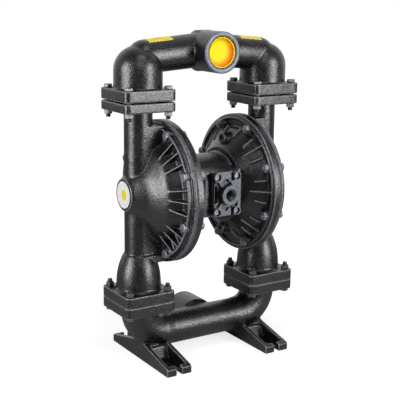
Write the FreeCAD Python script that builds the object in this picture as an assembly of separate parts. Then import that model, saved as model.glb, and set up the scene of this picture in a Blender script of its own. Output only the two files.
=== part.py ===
"""Air operated double diaphragm pump with 3 inch ports, one STEP file per piece.

Frame: X along the diaphragm rod, -Y towards the discharge port and the air inlet cover,
Z up. The origin is on the floor under the middle of the pump. Sizes are in millimetres.
"""
import math
import os

from FreeCAD import Vector
import Part

# Driving dimensions of the whole pump
COLUMN_X = 209.0        # each chamber's vertical column, from the middle
RIM_Z = 494.0           # height of the diaphragm rod
SUCTION_FACE_Z = 186.0  # where the chambers stand on the suction manifold
DISCHARGE_FACE_Z = 755.0
SUCTION_PIPE_Z = 78.7
DISCHARGE_PIPE_Z = 884.0
TOP_PORT_Y = -102.0     # machined face of the discharge port
REAR_PORT_Y = 108.0     # machined face of the suction port
CROWN_Z = 887.0         # axis of the top pipe in the middle, from where it falls to both ends
PIPE_END_Z = 871.5

# Pipes, walls and ports
PIPE_R = 48.2
PIPE_END_R = 46.5
PIPE_BORE_R = 38.0
TEE_R = 57.5
TEE_HALF = 27.0
REAR_BOSS_R = 61.0
PORT_THREAD_R = 43.0
PORT_THREAD_DEPTH = 42.0
PORT_CHAMFER = 2.5
ELBOW_R = 67.7
ELBOW_BORE_R = 58.5
ELBOW_TOP_Z = 836.0
ELBOW_REACH_X = 190.0
FILLET_INSET = 2.6
TEE_HUB_R = 42.0        # round room where the pipe and the port meet
BEND_RADIUS = 75.0
BEND_R = 48.5
BEND_BULGE = 3.0         # the bends are this much fatter than the pipe between them
BULGE_RUN = 22.0

# Square flanges and what clamps them
FLANGE_HALF = 78.5
FLANGE_CORNER = 14.0
FLANGE_EDGE = 1.6
TOP_PLATE_ABOVE = 33.0
TOP_PLATE_BELOW = 28.0
LOW_PLATE_ABOVE = 31.0
LOW_PLATE_BELOW = 31.0
FLANGE_BOLT_PITCH = 60.5
FLANGE_BOLT_R = 7.0
FLANGE_HOLE_R = 7.6
FLANGE_HEX = 22.0
FLANGE_HEAD = 9.0
FLANGE_NUT = 12.0
STUD_END = 9.0
JOINT_FACE_R = 74.0
JOINT_FACE = 1.5         # raised face that leaves a dark gap round the top flanges

# Chambers: distances from the middle along X, radii about the rod
HUB_X = 61.0
HUB_R = 111.0
HUB_WALL = 12.0
PARTING_X = 138.7
INNER_RIM_X = 116.0
LIP_BACK_X = 112.5      # low ridge round the nuts of an air chamber
OUTER_RIM_X = 148.0
RIM_R = 203.0
LIP_X = 161.0
LIP_OUT_R = 189.5
LIP_IN_R = 185.0
POCKET_X = 152.0
POCKET_R = 149.5
BOSS_X = 256.0
BOSS_R = 46.5
COLUMN_R = 40.0
COLUMN_BORE_R = 31.5
LEDGE_Z = 685.0
SEAM_Z = 320.0
SKIRT_R = 44.5
SKIRT_LOW_Z = 297.0
BELL_R = 64.0
BELL_FOOT_R = 70.0
BELL_FOOT = 6.0
FIN_THICKNESS = 4.0

# Rim bolts
RIM_BOLT_CIRCLE = 180.0
RIM_BOLT_COUNT = 8
RIM_BOLT_R = 6.0
RIM_HOLE_R = 6.5
RIM_HEX = 22.0
RIM_HEAD = 10.0
RIM_NUT = 12.0
RIM_BOSS_R = 14.0
RIM_BOSS_X = 112.0
RIM_END_X = 96.0

# Rod, plates and diaphragms
ROD_R = 15.0
FIT = 0.04
ROD_END_X = 115.0
PLATE_R = 96.0
DIAPHRAGM_THICKNESS = 6.0
BEAD_THICKNESS = 8.0
BEAD_IN_R = 159.0
BEAD_OUT_R = 170.0
CAVITY_R = 156.0
ROD_BOLT_R = 10.0

# Check valves
BALL_R = 42.0
SEAT_BORE_R = 33.0
SEAT_R = 55.0
SEAT_HEIGHT = 14.0
BALL_ABOVE_SEAT = 20.0
SEAT_GAP = 0.3
RING_R = 2.5

# Centre body with its air valve, and the cover with the air inlet
BODY_X = 60.0
BODY_R = 94.5
BODY_WALL = 9.0
BODY_BLOCK_Z = 65.0
BODY_FACE_Y = -114.0
GASKET = 1.0
COVER_X = 45.0
COVER_LOW_Z = 433.0
COVER_TOP_Z = 559.5
COVER_FACE_Y = -131.0
COVER_SCREW_X = 32.5
COVER_SCREW_Z = 50.0
COVER_WELL_R = 13.5
COVER_BOSS_Y = -139.0
COVER_ARM = 10.0         # ribs from the air inlet to the two left screws
COVER_ARM_ANGLE = 54.8
INLET_R = 28.5
INLET_FACE_Y = -155.0
INLET_THREAD_R = 15.2
COVER_TAP_R = 3.4        # the cover's screw holes
HUB_SCREW_CIRCLE = 78.0
VALVE_Y = -84.0
SLEEVE_R = 21.0
SPOOL_R = 15.0
SPOOL_LENGTH = 74.0
PILOT_Y = -50.0
PILOT_Z = RIM_Z - 30.0
PILOT_R = 5.0
PILOT_END_X = 94.5

# Labels, port plug and exhaust
PIPE_LABEL_X = 104.0
PIPE_LABEL = 66.0
PIPE_LABEL_HALF = 24.0
DOME_LABEL_R = 38.0
FILM = 0.7
PLUG_INSET = 4.0         # the plug's rim lies this far inside the port's face
PLUG_DEPTH = 26.0
PLUG_FLOOR = 3.0
EXHAUST_FACE_Y = 106.0
EXHAUST_BOSS_R = 28.0
MUFFLER_R = 31.0
MUFFLER_HEX = 46.0
MUFFLER_END_Y = 160.0

# Feet of the suction manifold
FOOT_IN_X = 129.5
FOOT_OUT_X = 208.8
FOOT_Y = 164.0
FOOT_TIP_Z = 24.0
FOOT_TOP_Z = 53.0
FOOT_FLOOR = 10.0
FOOT_WALL = 12.0
FOOT_SLOT_R = 8.0
FOOT_SLOT_Y = 126.0

EAST = Vector(1, 0, 0)
NORTH = Vector(0, 1, 0)
UP = Vector(0, 0, 1)
SIDES = (("left", -1), ("right", 1))
pieces = {}


def bar_x(radius, start, end, y=0.0, z=RIM_Z):
    """Round bar along X."""
    return Part.makeCylinder(radius, end - start, Vector(start, y, z), EAST)


def bar_between(start_r, end_r, start, end):
    """Round bar or cone between two points."""
    return Part.makeCone(start_r, end_r, (end - start).Length, start, end - start)


def bar_y(radius, start, end, x=0.0, z=RIM_Z):
    """Round bar along Y."""
    return Part.makeCylinder(radius, end - start, Vector(x, start, z), NORTH)


def bar_z(radius, start, end, x=0.0, y=0.0):
    """Round bar along Z."""
    return Part.makeCylinder(radius, end - start, Vector(x, y, start), UP)


def block(x, y, z):
    """Box between three pairs of limits."""
    return Part.makeBox(x[1] - x[0], y[1] - y[0], z[1] - z[0], Vector(x[0], y[0], z[0]))


def join(first, *rest):
    """Fuses shapes that touch and drops the seams between them."""
    return first.fuse(list(rest)).removeSplitter()


def without(shape, *tools):
    """Cuts every tool from a shape."""
    return shape.cut(list(tools))


def lines(points):
    """Straight edges through points."""
    return [Part.LineSegment(a, b).toShape() for a, b in zip(points, points[1:])]


def smooth(points):
    """One smooth edge through points."""
    curve = Part.BSplineCurve()
    curve.interpolate(points)
    return [curve.toShape()]


def turned_x(*runs):
    """Solid of revolution about the rod. Runs are (kind, [(x, r), ...]), closed by a line."""
    return turned(runs, lambda x, r: Vector(x, 0, RIM_Z + r), Vector(0, 0, RIM_Z), EAST)


def turned_z(*runs, x=COLUMN_X):
    """Solid of revolution about an upright axis. Runs are (kind, [(r, z), ...])."""
    return turned(runs, lambda r, z: Vector(x + r, 0, z), Vector(x, 0, 0), UP)


def turned(runs, place, centre, axis):
    """Turns a closed outline a full circle about an axis."""
    edges = []
    ends = []
    for kind, run in runs:
        points = [place(*p) for p in run]
        edges += kind(points)
        ends += [points[0], points[-1]]
    if ends[-1].distanceToPoint(ends[0]) > 0.001:
        edges += lines([ends[-1], ends[0]])
    face = Part.Face(Part.Wire(edges))
    solid = face.revolve(centre, axis, 360)
    return solid if solid.Volume > 0 else solid.reversed()


def prism(points, depth):
    """Straight extrusion of a closed outline."""
    return Part.Face(Part.Wire(lines(points + points[:1]))).extrude(depth)


def hexagon(across_flats, centre, axis, height):
    """Hexagonal prism standing on centre along axis."""
    corner = across_flats / math.sqrt(3)
    side = NORTH if abs(axis.y) < 0.5 else EAST
    other = axis.cross(side)
    points = []
    for i in range(6):
        a = math.radians(60 * i + 30)
        points.append(centre + side * (corner * math.cos(a)) + other * (corner * math.sin(a)))
    cone = Part.makeCone(across_flats * 0.5 + height, across_flats * 0.5 - 0.6,
                         height + 0.6, centre, axis)
    return prism(points, axis * height).common(cone)


def around_rim(shape, angle):
    """Turns a shape about the rod. Angle 0 is up, and grows towards -Y."""
    copy = shape.copy()
    copy.rotate(Vector(0, 0, RIM_Z), EAST, angle)
    return copy


def bolt_angles():
    step = 360.0 / RIM_BOLT_COUNT
    return [step / 2 + step * i for i in range(RIM_BOLT_COUNT)]


def fin_angles():
    """Three fins between each pair of bolts."""
    step = 360.0 / RIM_BOLT_COUNT
    return [step * i + d * step / 4 for i in range(RIM_BOLT_COUNT) for d in (-1, 0, 1)]


def flange_plate(low, high, x=COLUMN_X):
    """Square cast plate with rounded corners and softened edges."""
    plate = block((x - FLANGE_HALF, x + FLANGE_HALF), (-FLANGE_HALF, FLANGE_HALF), (low, high))
    upright = [e for e in plate.Edges if abs(e.Vertexes[0].Z - e.Vertexes[1].Z) > 1]
    plate = plate.makeFillet(FLANGE_CORNER, upright)
    flat = [e for e in plate.Edges if e.BoundBox.ZLength < 0.01]
    return plate.makeFillet(FLANGE_EDGE, flat)


def flange_spots(x=COLUMN_X):
    return [(x + i * FLANGE_BOLT_PITCH, j * FLANGE_BOLT_PITCH) for i in (-1, 1) for j in (-1, 1)]


def flange_holes(low, high, x=COLUMN_X):
    return [bar_z(FLANGE_HOLE_R, low - 1, high + 1, px, py) for px, py in flange_spots(x)]


def mirrored(shape):
    """The same piece on the left side."""
    return shape.mirror(Vector(0, 0, 0), EAST)


def on_side(shape, side):
    return shape if side > 0 else mirrored(shape)


def keep(name, shape):
    """Stores a finished piece. A single solid is stored as one, a group as a compound."""
    solids = shape.Solids
    pieces[name] = solids[0] if len(solids) == 1 else Part.makeCompound(solids)


def outer_cap():
    """Fluid chamber casting: ribbed dome, column, ball cage, both flanges."""
    outside = [(POCKET_X, POCKET_R), (163, 143.5), (174, 137), (185, 129), (196, 113.5),
               (207, 94), (219, 77.5), (233, 64.5), (244, 54), (250, 48.5)]
    dome = turned_x(
        (lines, [(PARTING_X, 0), (PARTING_X, RIM_R - 1), (PARTING_X + 1, RIM_R),
                 (OUTER_RIM_X - 3, RIM_R), (OUTER_RIM_X, RIM_R - 3), (OUTER_RIM_X, LIP_OUT_R + 1),
                 (OUTER_RIM_X + 1, LIP_OUT_R), (LIP_X - 1, LIP_OUT_R), (LIP_X, LIP_OUT_R - 1),
                 (LIP_X, LIP_IN_R), (POCKET_X, LIP_IN_R - 1.5), (POCKET_X, POCKET_R)]),
        (smooth, outside),
        (lines, [outside[-1], (BOSS_X - 1, BOSS_R), (BOSS_X, BOSS_R - 1), (BOSS_X, 0)]))
    column = bar_z(COLUMN_R, SEAM_Z, LEDGE_Z, COLUMN_X)
    slab = block((OUTER_RIM_X - 2, COLUMN_X), (-COLUMN_R, COLUMN_R), (SEAM_Z, LEDGE_Z))
    skirt = block((OUTER_RIM_X - 2, COLUMN_X), (-SKIRT_R, SKIRT_R), (SKIRT_LOW_Z, SEAM_Z))
    neck = bar_z(COLUMN_R, LEDGE_Z - 1, DISCHARGE_FACE_Z - 2, COLUMN_X)
    bell_side = [(SKIRT_R, SEAM_Z - 1), (49.5, 307), (56.5, 287), (62.3, 257), (BELL_R, 232)]
    bell = turned_z(
        (lines, [(0, SEAM_Z), (SKIRT_R - 1, SEAM_Z), (SKIRT_R, SEAM_Z - 1)]),
        (smooth, bell_side),
        (lines, [bell_side[-1], (BELL_R, SUCTION_FACE_Z + 2), (0, SUCTION_FACE_Z + 2)]))
    low_plate = flange_plate(SUCTION_FACE_Z, SUCTION_FACE_Z + LOW_PLATE_ABOVE)
    bell_foot = Part.makeCone(BELL_FOOT_R, BELL_R + 1, BELL_FOOT,
                              Vector(COLUMN_X, 0, SUCTION_FACE_Z + LOW_PLATE_ABOVE), UP)
    top_plate = flange_plate(DISCHARGE_FACE_Z - TOP_PLATE_BELOW, DISCHARGE_FACE_Z - JOINT_FACE)
    joint_face = bar_z(JOINT_FACE_R, DISCHARGE_FACE_Z - JOINT_FACE - 2, DISCHARGE_FACE_Z,
                       COLUMN_X)

    fin = prism([Vector(POCKET_X - 1, -FIN_THICKNESS / 2, RIM_Z + 140),
                 Vector(POCKET_X - 1, -FIN_THICKNESS / 2, RIM_Z + LIP_IN_R + 1),
                 Vector(LIP_X - 0.5, -FIN_THICKNESS / 2, RIM_Z + LIP_IN_R + 1),
                 Vector(186, -FIN_THICKNESS / 2, RIM_Z + 128.5),
                 Vector(178, -FIN_THICKNESS / 2, RIM_Z + 125)], Vector(0, FIN_THICKNESS, 0))
    fins = [around_rim(fin, a) for a in fin_angles() if not behind_column(a)]
    seats = [bar_x(RIM_BOSS_R, OUTER_RIM_X - 2, POCKET_X + 4, 0, RIM_Z + RIM_BOLT_CIRCLE)]
    seats = [around_rim(seats[0], a) for a in bolt_angles()]
    body = join(dome, slab, skirt, column, neck, bell, bell_foot, low_plate, top_plate,
                joint_face, *(fins + seats))

    wells = [around_rim(bar_x(RIM_HEX * 0.62, POCKET_X + 4, LIP_X + 8, 0,
                              RIM_Z + RIM_BOLT_CIRCLE), a) for a in bolt_angles()]
    bolt_holes = [around_rim(bar_x(RIM_HOLE_R, PARTING_X - 1, LIP_X, 0,
                                   RIM_Z + RIM_BOLT_CIRCLE), a) for a in bolt_angles()]
    inside = [(154, 141.5), (165, 134), (176, 124), (187, 106), (198, 86), (210, 69),
              (224, 55), (236, 42)]
    cavity = turned_x((lines, [(PARTING_X - 1, 0), (PARTING_X - 1, CAVITY_R),
                               (PARTING_X + 3, CAVITY_R), inside[0]]),
                      (smooth, inside),
                      (lines, [inside[-1], (243, 30), (243, 0)]))
    groove = without(bar_x(BEAD_OUT_R + 0.3, PARTING_X - 1, PARTING_X + BEAD_THICKNESS / 2),
                     bar_x(CAVITY_R - 1, PARTING_X - 2, PARTING_X + BEAD_THICKNESS))
    passage = bar_z(COLUMN_BORE_R, SUCTION_FACE_Z - 1, DISCHARGE_FACE_Z + 1, COLUMN_X)
    waist = block((PARTING_X + 12, COLUMN_X), (-COLUMN_BORE_R, COLUMN_BORE_R),
                  (SEAM_Z + 16, LEDGE_Z - 14))
    cage_side = [(35, 315), (40.5, 303), (47.5, 284), (53.3, 256), (55.5, 232)]
    cage = turned_z((lines, [(0, 318), (COLUMN_BORE_R, 318), cage_side[0]]),
                    (smooth, cage_side),
                    (lines, [cage_side[-1], (55.5, SUCTION_FACE_Z - 1), (0, SUCTION_FACE_Z - 1)]))
    seat_recess = bar_z(SEAT_R + 0.3, DISCHARGE_FACE_Z - SEAT_HEIGHT, DISCHARGE_FACE_Z + 1,
                        COLUMN_X)
    holes = (flange_holes(SUCTION_FACE_Z, SUCTION_FACE_Z + LOW_PLATE_ABOVE)
             + flange_holes(DISCHARGE_FACE_Z - TOP_PLATE_BELOW, DISCHARGE_FACE_Z))
    return without(body, cavity, groove, passage, waist, cage, seat_recess,
                   *(wells + bolt_holes + holes))


def behind_column(angle):
    """True for a fin that the column covers, above or below the rod."""
    return abs(math.sin(math.radians(angle))) * 160 < COLUMN_R


def inner_cap():
    """Air chamber casting between the centre body and the diaphragm."""
    body = turned_x(
        (lines, [(HUB_X, 0), (HUB_X, HUB_R - 1), (HUB_X + 1, HUB_R), (HUB_X + 5, HUB_R + 2),
                 (HUB_X + 9, HUB_R + 7), (INNER_RIM_X - 6, 160), (INNER_RIM_X + 5, 164),
                 (INNER_RIM_X + 5, 187), (INNER_RIM_X, 188), (LIP_BACK_X, 188.5),
                 (LIP_BACK_X, 192), (INNER_RIM_X, 193), (INNER_RIM_X, RIM_R - 2),
                 (INNER_RIM_X + 2, RIM_R), (PARTING_X - 1, RIM_R), (PARTING_X, RIM_R - 1),
                 (PARTING_X, 0)]))
    fins = [around_rim(inner_fin(abs((a + 22.5) % 45 - 22.5) < 1), a) for a in fin_angles()
            if not near_upright(a)]
    seats = [around_rim(bar_x(RIM_BOSS_R, RIM_BOSS_X, PARTING_X - 2, 0,
                              RIM_Z + RIM_BOLT_CIRCLE), a) for a in bolt_angles()]
    plug_bosses = [around_rim(bar_x(16, 67, 112, 0, RIM_Z + 135), a) for a in (0, 180)]
    body = join(body, *(fins + seats + plug_bosses))

    bolt_holes = [around_rim(bar_x(RIM_HOLE_R, RIM_BOSS_X - 1, PARTING_X + 1, 0,
                                   RIM_Z + RIM_BOLT_CIRCLE), a) for a in bolt_angles()]
    cavity = turned_x((lines, [(HUB_X + HUB_WALL, 0), (HUB_X + HUB_WALL, 98),
                               (HUB_X + HUB_WALL + 9, 110), (INNER_RIM_X + 2, 150),
                               (PARTING_X - 3, CAVITY_R), (PARTING_X + 1, CAVITY_R),
                               (PARTING_X + 1, 0)]))
    groove = without(bar_x(BEAD_OUT_R + 0.3, PARTING_X - BEAD_THICKNESS / 2, PARTING_X + 1),
                     bar_x(CAVITY_R - 1, PARTING_X - BEAD_THICKNESS, PARTING_X + 2))
    seal_bore = bar_x(22, HUB_X - 1, HUB_X + 8)
    rod_hole = bar_x(ROD_R + 1, HUB_X - 1, HUB_X + HUB_WALL + 1)
    pilot_hole = bar_x(PILOT_R + FIT, HUB_X - 1, HUB_X + HUB_WALL + 1, PILOT_Y, PILOT_Z)
    plug_holes = [around_rim(bar_x(6, 66, 78, 0, RIM_Z + 135), a) for a in (0, 180)]
    screws = [bar_x(5.3, HUB_X - 1, HUB_X + HUB_WALL + 1, y, z) for y, z in hub_screw_spots()]
    return without(body, cavity, groove, seal_bore, rod_hole, pilot_hole,
                   *(bolt_holes + plug_holes + screws))


def inner_fin(middle):
    """Low fin on the cone of an air chamber. The middle one of each three is longer."""
    start = 0.28 if middle else 0.47
    finish = 0.98 if middle else 0.80

    def crest(t):
        return 64 + 56 * t, 115 + 63 * t

    (x0, r0), (x1, r1) = crest(start), crest(finish)
    outline = [(x0 - 1, r0 - 8), (x0, r0 - 2), (x0 + 2, r0), (x1, r1), (x1 + 2, r1 - 1),
               (x1 + 4, r1 - 12), (x0 + 12, r0 - 8)]
    return prism([Vector(x, -FIN_THICKNESS / 2, RIM_Z + r) for x, r in outline],
                 Vector(0, FIN_THICKNESS, 0))


def near_upright(angle):
    """True for the middle fin at the top and bottom, where a round boss stands."""
    return abs(math.sin(math.radians(angle))) < 0.01


def hub_screw_spots():
    """Six screws that hold each inner cap to the centre body."""
    spots = []
    for i in range(6):
        a = math.radians(60 * i)
        spots.append((HUB_SCREW_CIRCLE * math.sin(a), RIM_Z + HUB_SCREW_CIRCLE * math.cos(a)))
    return spots


def centre_body():
    """Casting between the chambers, with the rod tube and the air valve block."""
    shell = bar_x(BODY_R, -BODY_X, BODY_X)
    valve_block = block((-BODY_X, BODY_X), (BODY_FACE_Y, -40),
                        (RIM_Z - BODY_BLOCK_Z, RIM_Z + BODY_BLOCK_Z))
    upright = [e for e in valve_block.Edges if abs(e.Vertexes[0].X - e.Vertexes[1].X) > 1
               and e.Vertexes[0].Y < BODY_FACE_Y + 1]
    valve_block = valve_block.makeFillet(5, upright)
    exhaust_boss = bar_y(EXHAUST_BOSS_R, 70, EXHAUST_FACE_Y)
    rim_left = without(bar_x(BODY_R + 4, -BODY_X, -BODY_X + 8), bar_x(BODY_R - 6, -BODY_X - 1, 0))
    outside = join(shell, valve_block, exhaust_boss, rim_left, mirrored(rim_left))

    room = bar_x(BODY_R - BODY_WALL, -BODY_X - 1, BODY_X + 1)
    tube = bar_x(27, -BODY_X, BODY_X)
    solid_front = block((-BODY_X, BODY_X), (BODY_FACE_Y, -36),
                        (RIM_Z - BODY_BLOCK_Z, RIM_Z + BODY_BLOCK_Z))
    web = block((-BODY_X, BODY_X), (-4, 4), (RIM_Z, RIM_Z + BODY_R - 2))
    webs = [around_rim(web, a) for a in (0, 60, 120, 180, 240, 300)]
    posts = [bar_x(10, -BODY_X, BODY_X, y, z) for y, z in hub_screw_spots()]
    filled = join(tube, solid_front, *(webs + posts))
    inside = without(room, filled)
    body = without(outside, inside)

    rod_hole = bar_x(ROD_R + 1, -BODY_X - 1, BODY_X + 1)
    bush_bores = [bar_x(20, a, b) for a, b in ((-BODY_X - 1, -38), (38, BODY_X + 1))]
    sleeve_bore = bar_x(SLEEVE_R, -BODY_X - 1, BODY_X + 1, VALVE_Y)
    pilot_hole = bar_x(PILOT_R + FIT, -BODY_X - 1, BODY_X + 1, PILOT_Y, PILOT_Z)
    inlet = bar_y(12, BODY_FACE_Y - 1, VALVE_Y)
    exhaust = bar_y(INLET_THREAD_R, 50, EXHAUST_FACE_Y + 1)
    screw_holes = [bar_x(4.3, a, b, y, z) for y, z in hub_screw_spots()
                   for a, b in ((-BODY_X - 1, -BODY_X + 25), (BODY_X - 25, BODY_X + 1))]
    cover_holes = [bar_y(COVER_TAP_R, BODY_FACE_Y - 1, BODY_FACE_Y + 22, x, z)
                   for x, z in cover_spots()]
    return without(body, rod_hole, sleeve_bore, pilot_hole, inlet, exhaust,
                   *(bush_bores + screw_holes + cover_holes))


def cover_spots():
    return [(i * COVER_SCREW_X, RIM_Z + j * COVER_SCREW_Z) for i in (-1, 1) for j in (-1, 1)]


def front_cover():
    """Cast cover with the air inlet boss, four screw wells and raised bridges between them."""
    plate = block((-COVER_X, COVER_X), (COVER_FACE_Y, BODY_FACE_Y - GASKET),
                  (COVER_LOW_Z, COVER_TOP_Z))
    upright = [e for e in plate.Edges if abs(e.Vertexes[0].Y - e.Vertexes[1].Y) > 1]
    plate = plate.makeFillet(9, upright)
    left_edge = [e for e in plate.Edges if e.BoundBox.XMax < -COVER_X + 0.1
                 and e.BoundBox.YMax < COVER_FACE_Y + 0.1 and e.BoundBox.ZLength > 50]
    plate = plate.makeChamfer(5, left_edge)

    def raised(x, z):
        return block(x, (COVER_BOSS_Y, COVER_FACE_Y + 2), z)

    bosses = [bar_y(COVER_WELL_R, COVER_BOSS_Y, COVER_FACE_Y + 2, x, z)
              for x, z in cover_spots()]
    inlet = Part.makeCone(INLET_R + 1.5, INLET_R, COVER_FACE_Y + 2 - INLET_FACE_Y,
                          Vector(0, COVER_FACE_Y + 2, RIM_Z), NORTH * -1)
    above_inlet = raised((-26, 10), (RIM_Z + 35, COVER_TOP_Z))
    below_inlet = raised((-21, 11), (COVER_LOW_Z, RIM_Z - 38))
    beside_inlet = raised((33, COVER_X - 1), (RIM_Z - 44, RIM_Z + 18))
    right_shoulder = raised((10, COVER_X - 1), (RIM_Z + 15, RIM_Z + 39))
    top_left_pad = raised((-40, -22), (COVER_TOP_Z - 22, COVER_TOP_Z - 1))
    low_left_pad = raised((-40, -20), (COVER_LOW_Z + 1, COVER_LOW_Z + 21))
    arms = []
    for s in (-1, 1):
        arm = block((10, 58), (COVER_BOSS_Y, COVER_FACE_Y + 2), (-COVER_ARM / 2, COVER_ARM / 2))
        arm.rotate(Vector(0, 0, 0), NORTH, 180 + s * COVER_ARM_ANGLE)
        arm.translate(Vector(0, 0, RIM_Z))
        arms.append(arm)
    body = join(plate, inlet, above_inlet, below_inlet, beside_inlet, right_shoulder,
                top_left_pad, low_left_pad, *(bosses + arms))
    limits = block((-COVER_X - 1, COVER_X), (INLET_FACE_Y - 1, 0), (COVER_LOW_Z, COVER_TOP_Z))
    body = body.common(limits)

    pocket = prism([Vector(x, COVER_FACE_Y - 9, RIM_Z + z) for x, z in
                    ((6 - COVER_X, -27), (6 - COVER_X, 27), (-31, 22), (-31, -22))], NORTH * 19)
    slots = [block((12, 20), (COVER_BOSS_Y - 1, COVER_FACE_Y + 3),
                   (RIM_Z + 41, COVER_TOP_Z + 1)),
             block((12.5, 20.5), (COVER_BOSS_Y - 1, COVER_FACE_Y + 3),
                   (COVER_LOW_Z - 1, RIM_Z - 36))]
    notches = [bar_y(9, COVER_BOSS_Y - 1, COVER_FACE_Y, -6, RIM_Z + z) for z in (35, -37)]
    wells = [bar_y(COVER_WELL_R - 4.6, COVER_BOSS_Y - 3, COVER_FACE_Y + 5, x, z)
             for x, z in cover_spots()]
    holes = [bar_y(COVER_TAP_R, COVER_FACE_Y, BODY_FACE_Y, x, z) for x, z in cover_spots()]
    thread = bar_y(INLET_THREAD_R, INLET_FACE_Y - 1, COVER_FACE_Y + 4)
    mouth = Part.makeCone(INLET_THREAD_R + 2.5, INLET_THREAD_R, 2.5,
                          Vector(0, INLET_FACE_Y, RIM_Z), NORTH)
    way = bar_y(12, COVER_FACE_Y, BODY_FACE_Y)
    return without(body, thread, mouth, way, pocket, *(slots + notches + wells + holes))


def top_pipe(extra=0.0):
    """Right half of the top pipe, which falls towards the elbow."""
    return bar_between(PIPE_R + extra, PIPE_END_R + extra, Vector(0, 0, CROWN_Z),
                       Vector(ELBOW_REACH_X, 0, PIPE_END_Z))


def elbow_fillet():
    """Cone that fills the notch between the elbow's dome and the round end of the pipe."""
    dome = Vector(COLUMN_X, 0, ELBOW_TOP_Z)
    tip = Vector(ELBOW_REACH_X, 0, PIPE_END_Z)
    way = (tip - dome).normalize()
    lean = (ELBOW_R - PIPE_END_R) / tip.distanceToPoint(dome)
    narrow = math.sqrt(1 - lean * lean)
    return bar_between((ELBOW_R - FILLET_INSET) * narrow, (PIPE_END_R - FILLET_INSET) * narrow,
                       dome + way * (ELBOW_R * lean), tip + way * (PIPE_END_R * lean))


def discharge_manifold():
    """Top casting: two ball cage elbows, the cross pipe and the tee with the port."""
    pipe_z = DISCHARGE_PIPE_Z

    def dome(radius, low):
        return turned_z((lines, [(0, low), (radius, low), (radius, ELBOW_TOP_Z)]),
                        (quarter, [(radius, ELBOW_TOP_Z), (0, ELBOW_TOP_Z + radius)]))

    low = DISCHARGE_FACE_Z + JOINT_FACE
    tip = Part.makeSphere(PIPE_END_R + 0.3, Vector(ELBOW_REACH_X, 0, PIPE_END_Z))
    room_tip = Part.makeSphere(PIPE_BORE_R, Vector(ELBOW_REACH_X, 0, PIPE_END_Z))
    half = [dome(ELBOW_R, low + 3), tip, elbow_fillet(), top_pipe(),
            flange_plate(low, DISCHARGE_FACE_Z + TOP_PLATE_ABOVE),
            bar_z(JOINT_FACE_R, DISCHARGE_FACE_Z, low + 2, COLUMN_X)]
    hollows = [dome(ELBOW_BORE_R, DISCHARGE_FACE_Z - 1), room_tip,
               top_pipe(PIPE_BORE_R - PIPE_R)]
    hollows += flange_holes(DISCHARGE_FACE_Z, DISCHARGE_FACE_Z + TOP_PLATE_ABOVE)
    collar = soft_bar_x(TEE_R, TEE_HALF, pipe_z)
    port = bar_y(TEE_R, TOP_PORT_Y, 0, 0, pipe_z)
    body = join(collar, port, *(half + [mirrored(s) for s in half]))
    tee_bore = bar_y(PIPE_BORE_R, TOP_PORT_Y - 1, 0, 0, pipe_z)
    hub = Part.makeSphere(TEE_HUB_R, Vector(0, 0, pipe_z + 1))
    return without(body, tee_bore, hub, *(hollows + [mirrored(s) for s in hollows]
                                          + port_cuts(TOP_PORT_Y, 1, pipe_z)))


def quarter(points):
    """Quarter circle about the point that is level with its start and above its end's axis."""
    start, end = points
    centre = Vector(end.x, end.y, start.z)
    middle = centre + (start + end - centre * 2).normalize() * start.distanceToPoint(centre)
    return [Part.Arc(start, middle, end).toShape()]


def soft_bar_x(radius, half, z):
    """Short bar along X whose ends taper down to the pipe."""
    taper = 5.0
    middle = bar_x(radius, -half + taper, half - taper, 0, z)
    ends = [Part.makeCone(radius - taper * 1.6, radius, taper, Vector(-half, 0, z), EAST),
            Part.makeCone(radius, radius - taper * 1.6, taper, Vector(half - taper, 0, z), EAST)]
    return join(middle, *ends)


def port_cuts(face_y, inward, z):
    """Thread and mouth chamfer of a pipe port. Inward is +1 or -1 along Y."""
    back = face_y + inward * PORT_THREAD_DEPTH
    thread = bar_y(PORT_THREAD_R, min(face_y - inward, back), max(face_y - inward, back), 0, z)
    mouth = Part.makeCone(PORT_THREAD_R + PORT_CHAMFER, PORT_THREAD_R, PORT_CHAMFER,
                          Vector(0, face_y, z), NORTH * inward)
    return [thread, mouth]


def suction_manifold():
    """Bottom casting: cross pipe, two bends, the rear port and both slotted feet."""
    z = SUCTION_PIPE_Z
    bend_x = COLUMN_X - BEND_RADIUS
    bend_z = z + BEND_RADIUS

    def half_run(radius, bulge, top_z):
        """Half of the cross pipe, the fatter bend and the upright end, as one round bar."""
        fat = radius + bulge
        disc = Part.Face(Part.Wire(Part.makeCircle(fat, Vector(bend_x, 0, z), EAST)))
        tube = disc.revolve(Vector(bend_x, 0, bend_z), NORTH, -90)
        tube = tube if tube.Volume > 0 else tube.reversed()
        neck = bar_between(radius, fat, Vector(bend_x - BULGE_RUN, 0, z), Vector(bend_x, 0, z))
        return join(bar_x(radius, 0, bend_x - BULGE_RUN, 0, z), neck, tube,
                    bar_z(fat, bend_z, top_z, COLUMN_X))

    plate = flange_plate(SUCTION_FACE_Z - LOW_PLATE_BELOW, SUCTION_FACE_Z)
    half = join(join(half_run(BEND_R, BEND_BULGE, SUCTION_FACE_Z - 3), plate), foot())
    room = join(half_run(PIPE_BORE_R, 0.01, SUCTION_FACE_Z + 1),
                bar_z(SEAT_R + 0.3, SUCTION_FACE_Z - SEAT_HEIGHT, SUCTION_FACE_Z + 1, COLUMN_X))
    holes = flange_holes(SUCTION_FACE_Z - LOW_PLATE_BELOW, SUCTION_FACE_Z)
    half = without(half, room, *holes)

    port = join(bar_y(REAR_BOSS_R, 22, REAR_PORT_Y, 0, z),
                Part.makeCone(BEND_R - 4, REAR_BOSS_R, 18, Vector(0, 4, z), NORTH))
    pipe_room = bar_x(PIPE_BORE_R, -bend_x, bend_x, 0, z)
    body = join(join(half, mirrored(half)), without(port, pipe_room))
    tee_bore = bar_y(PIPE_BORE_R, 0, REAR_PORT_Y + 1, 0, z)
    return without(body, tee_bore, *port_cuts(REAR_PORT_Y, -1, z))


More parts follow.
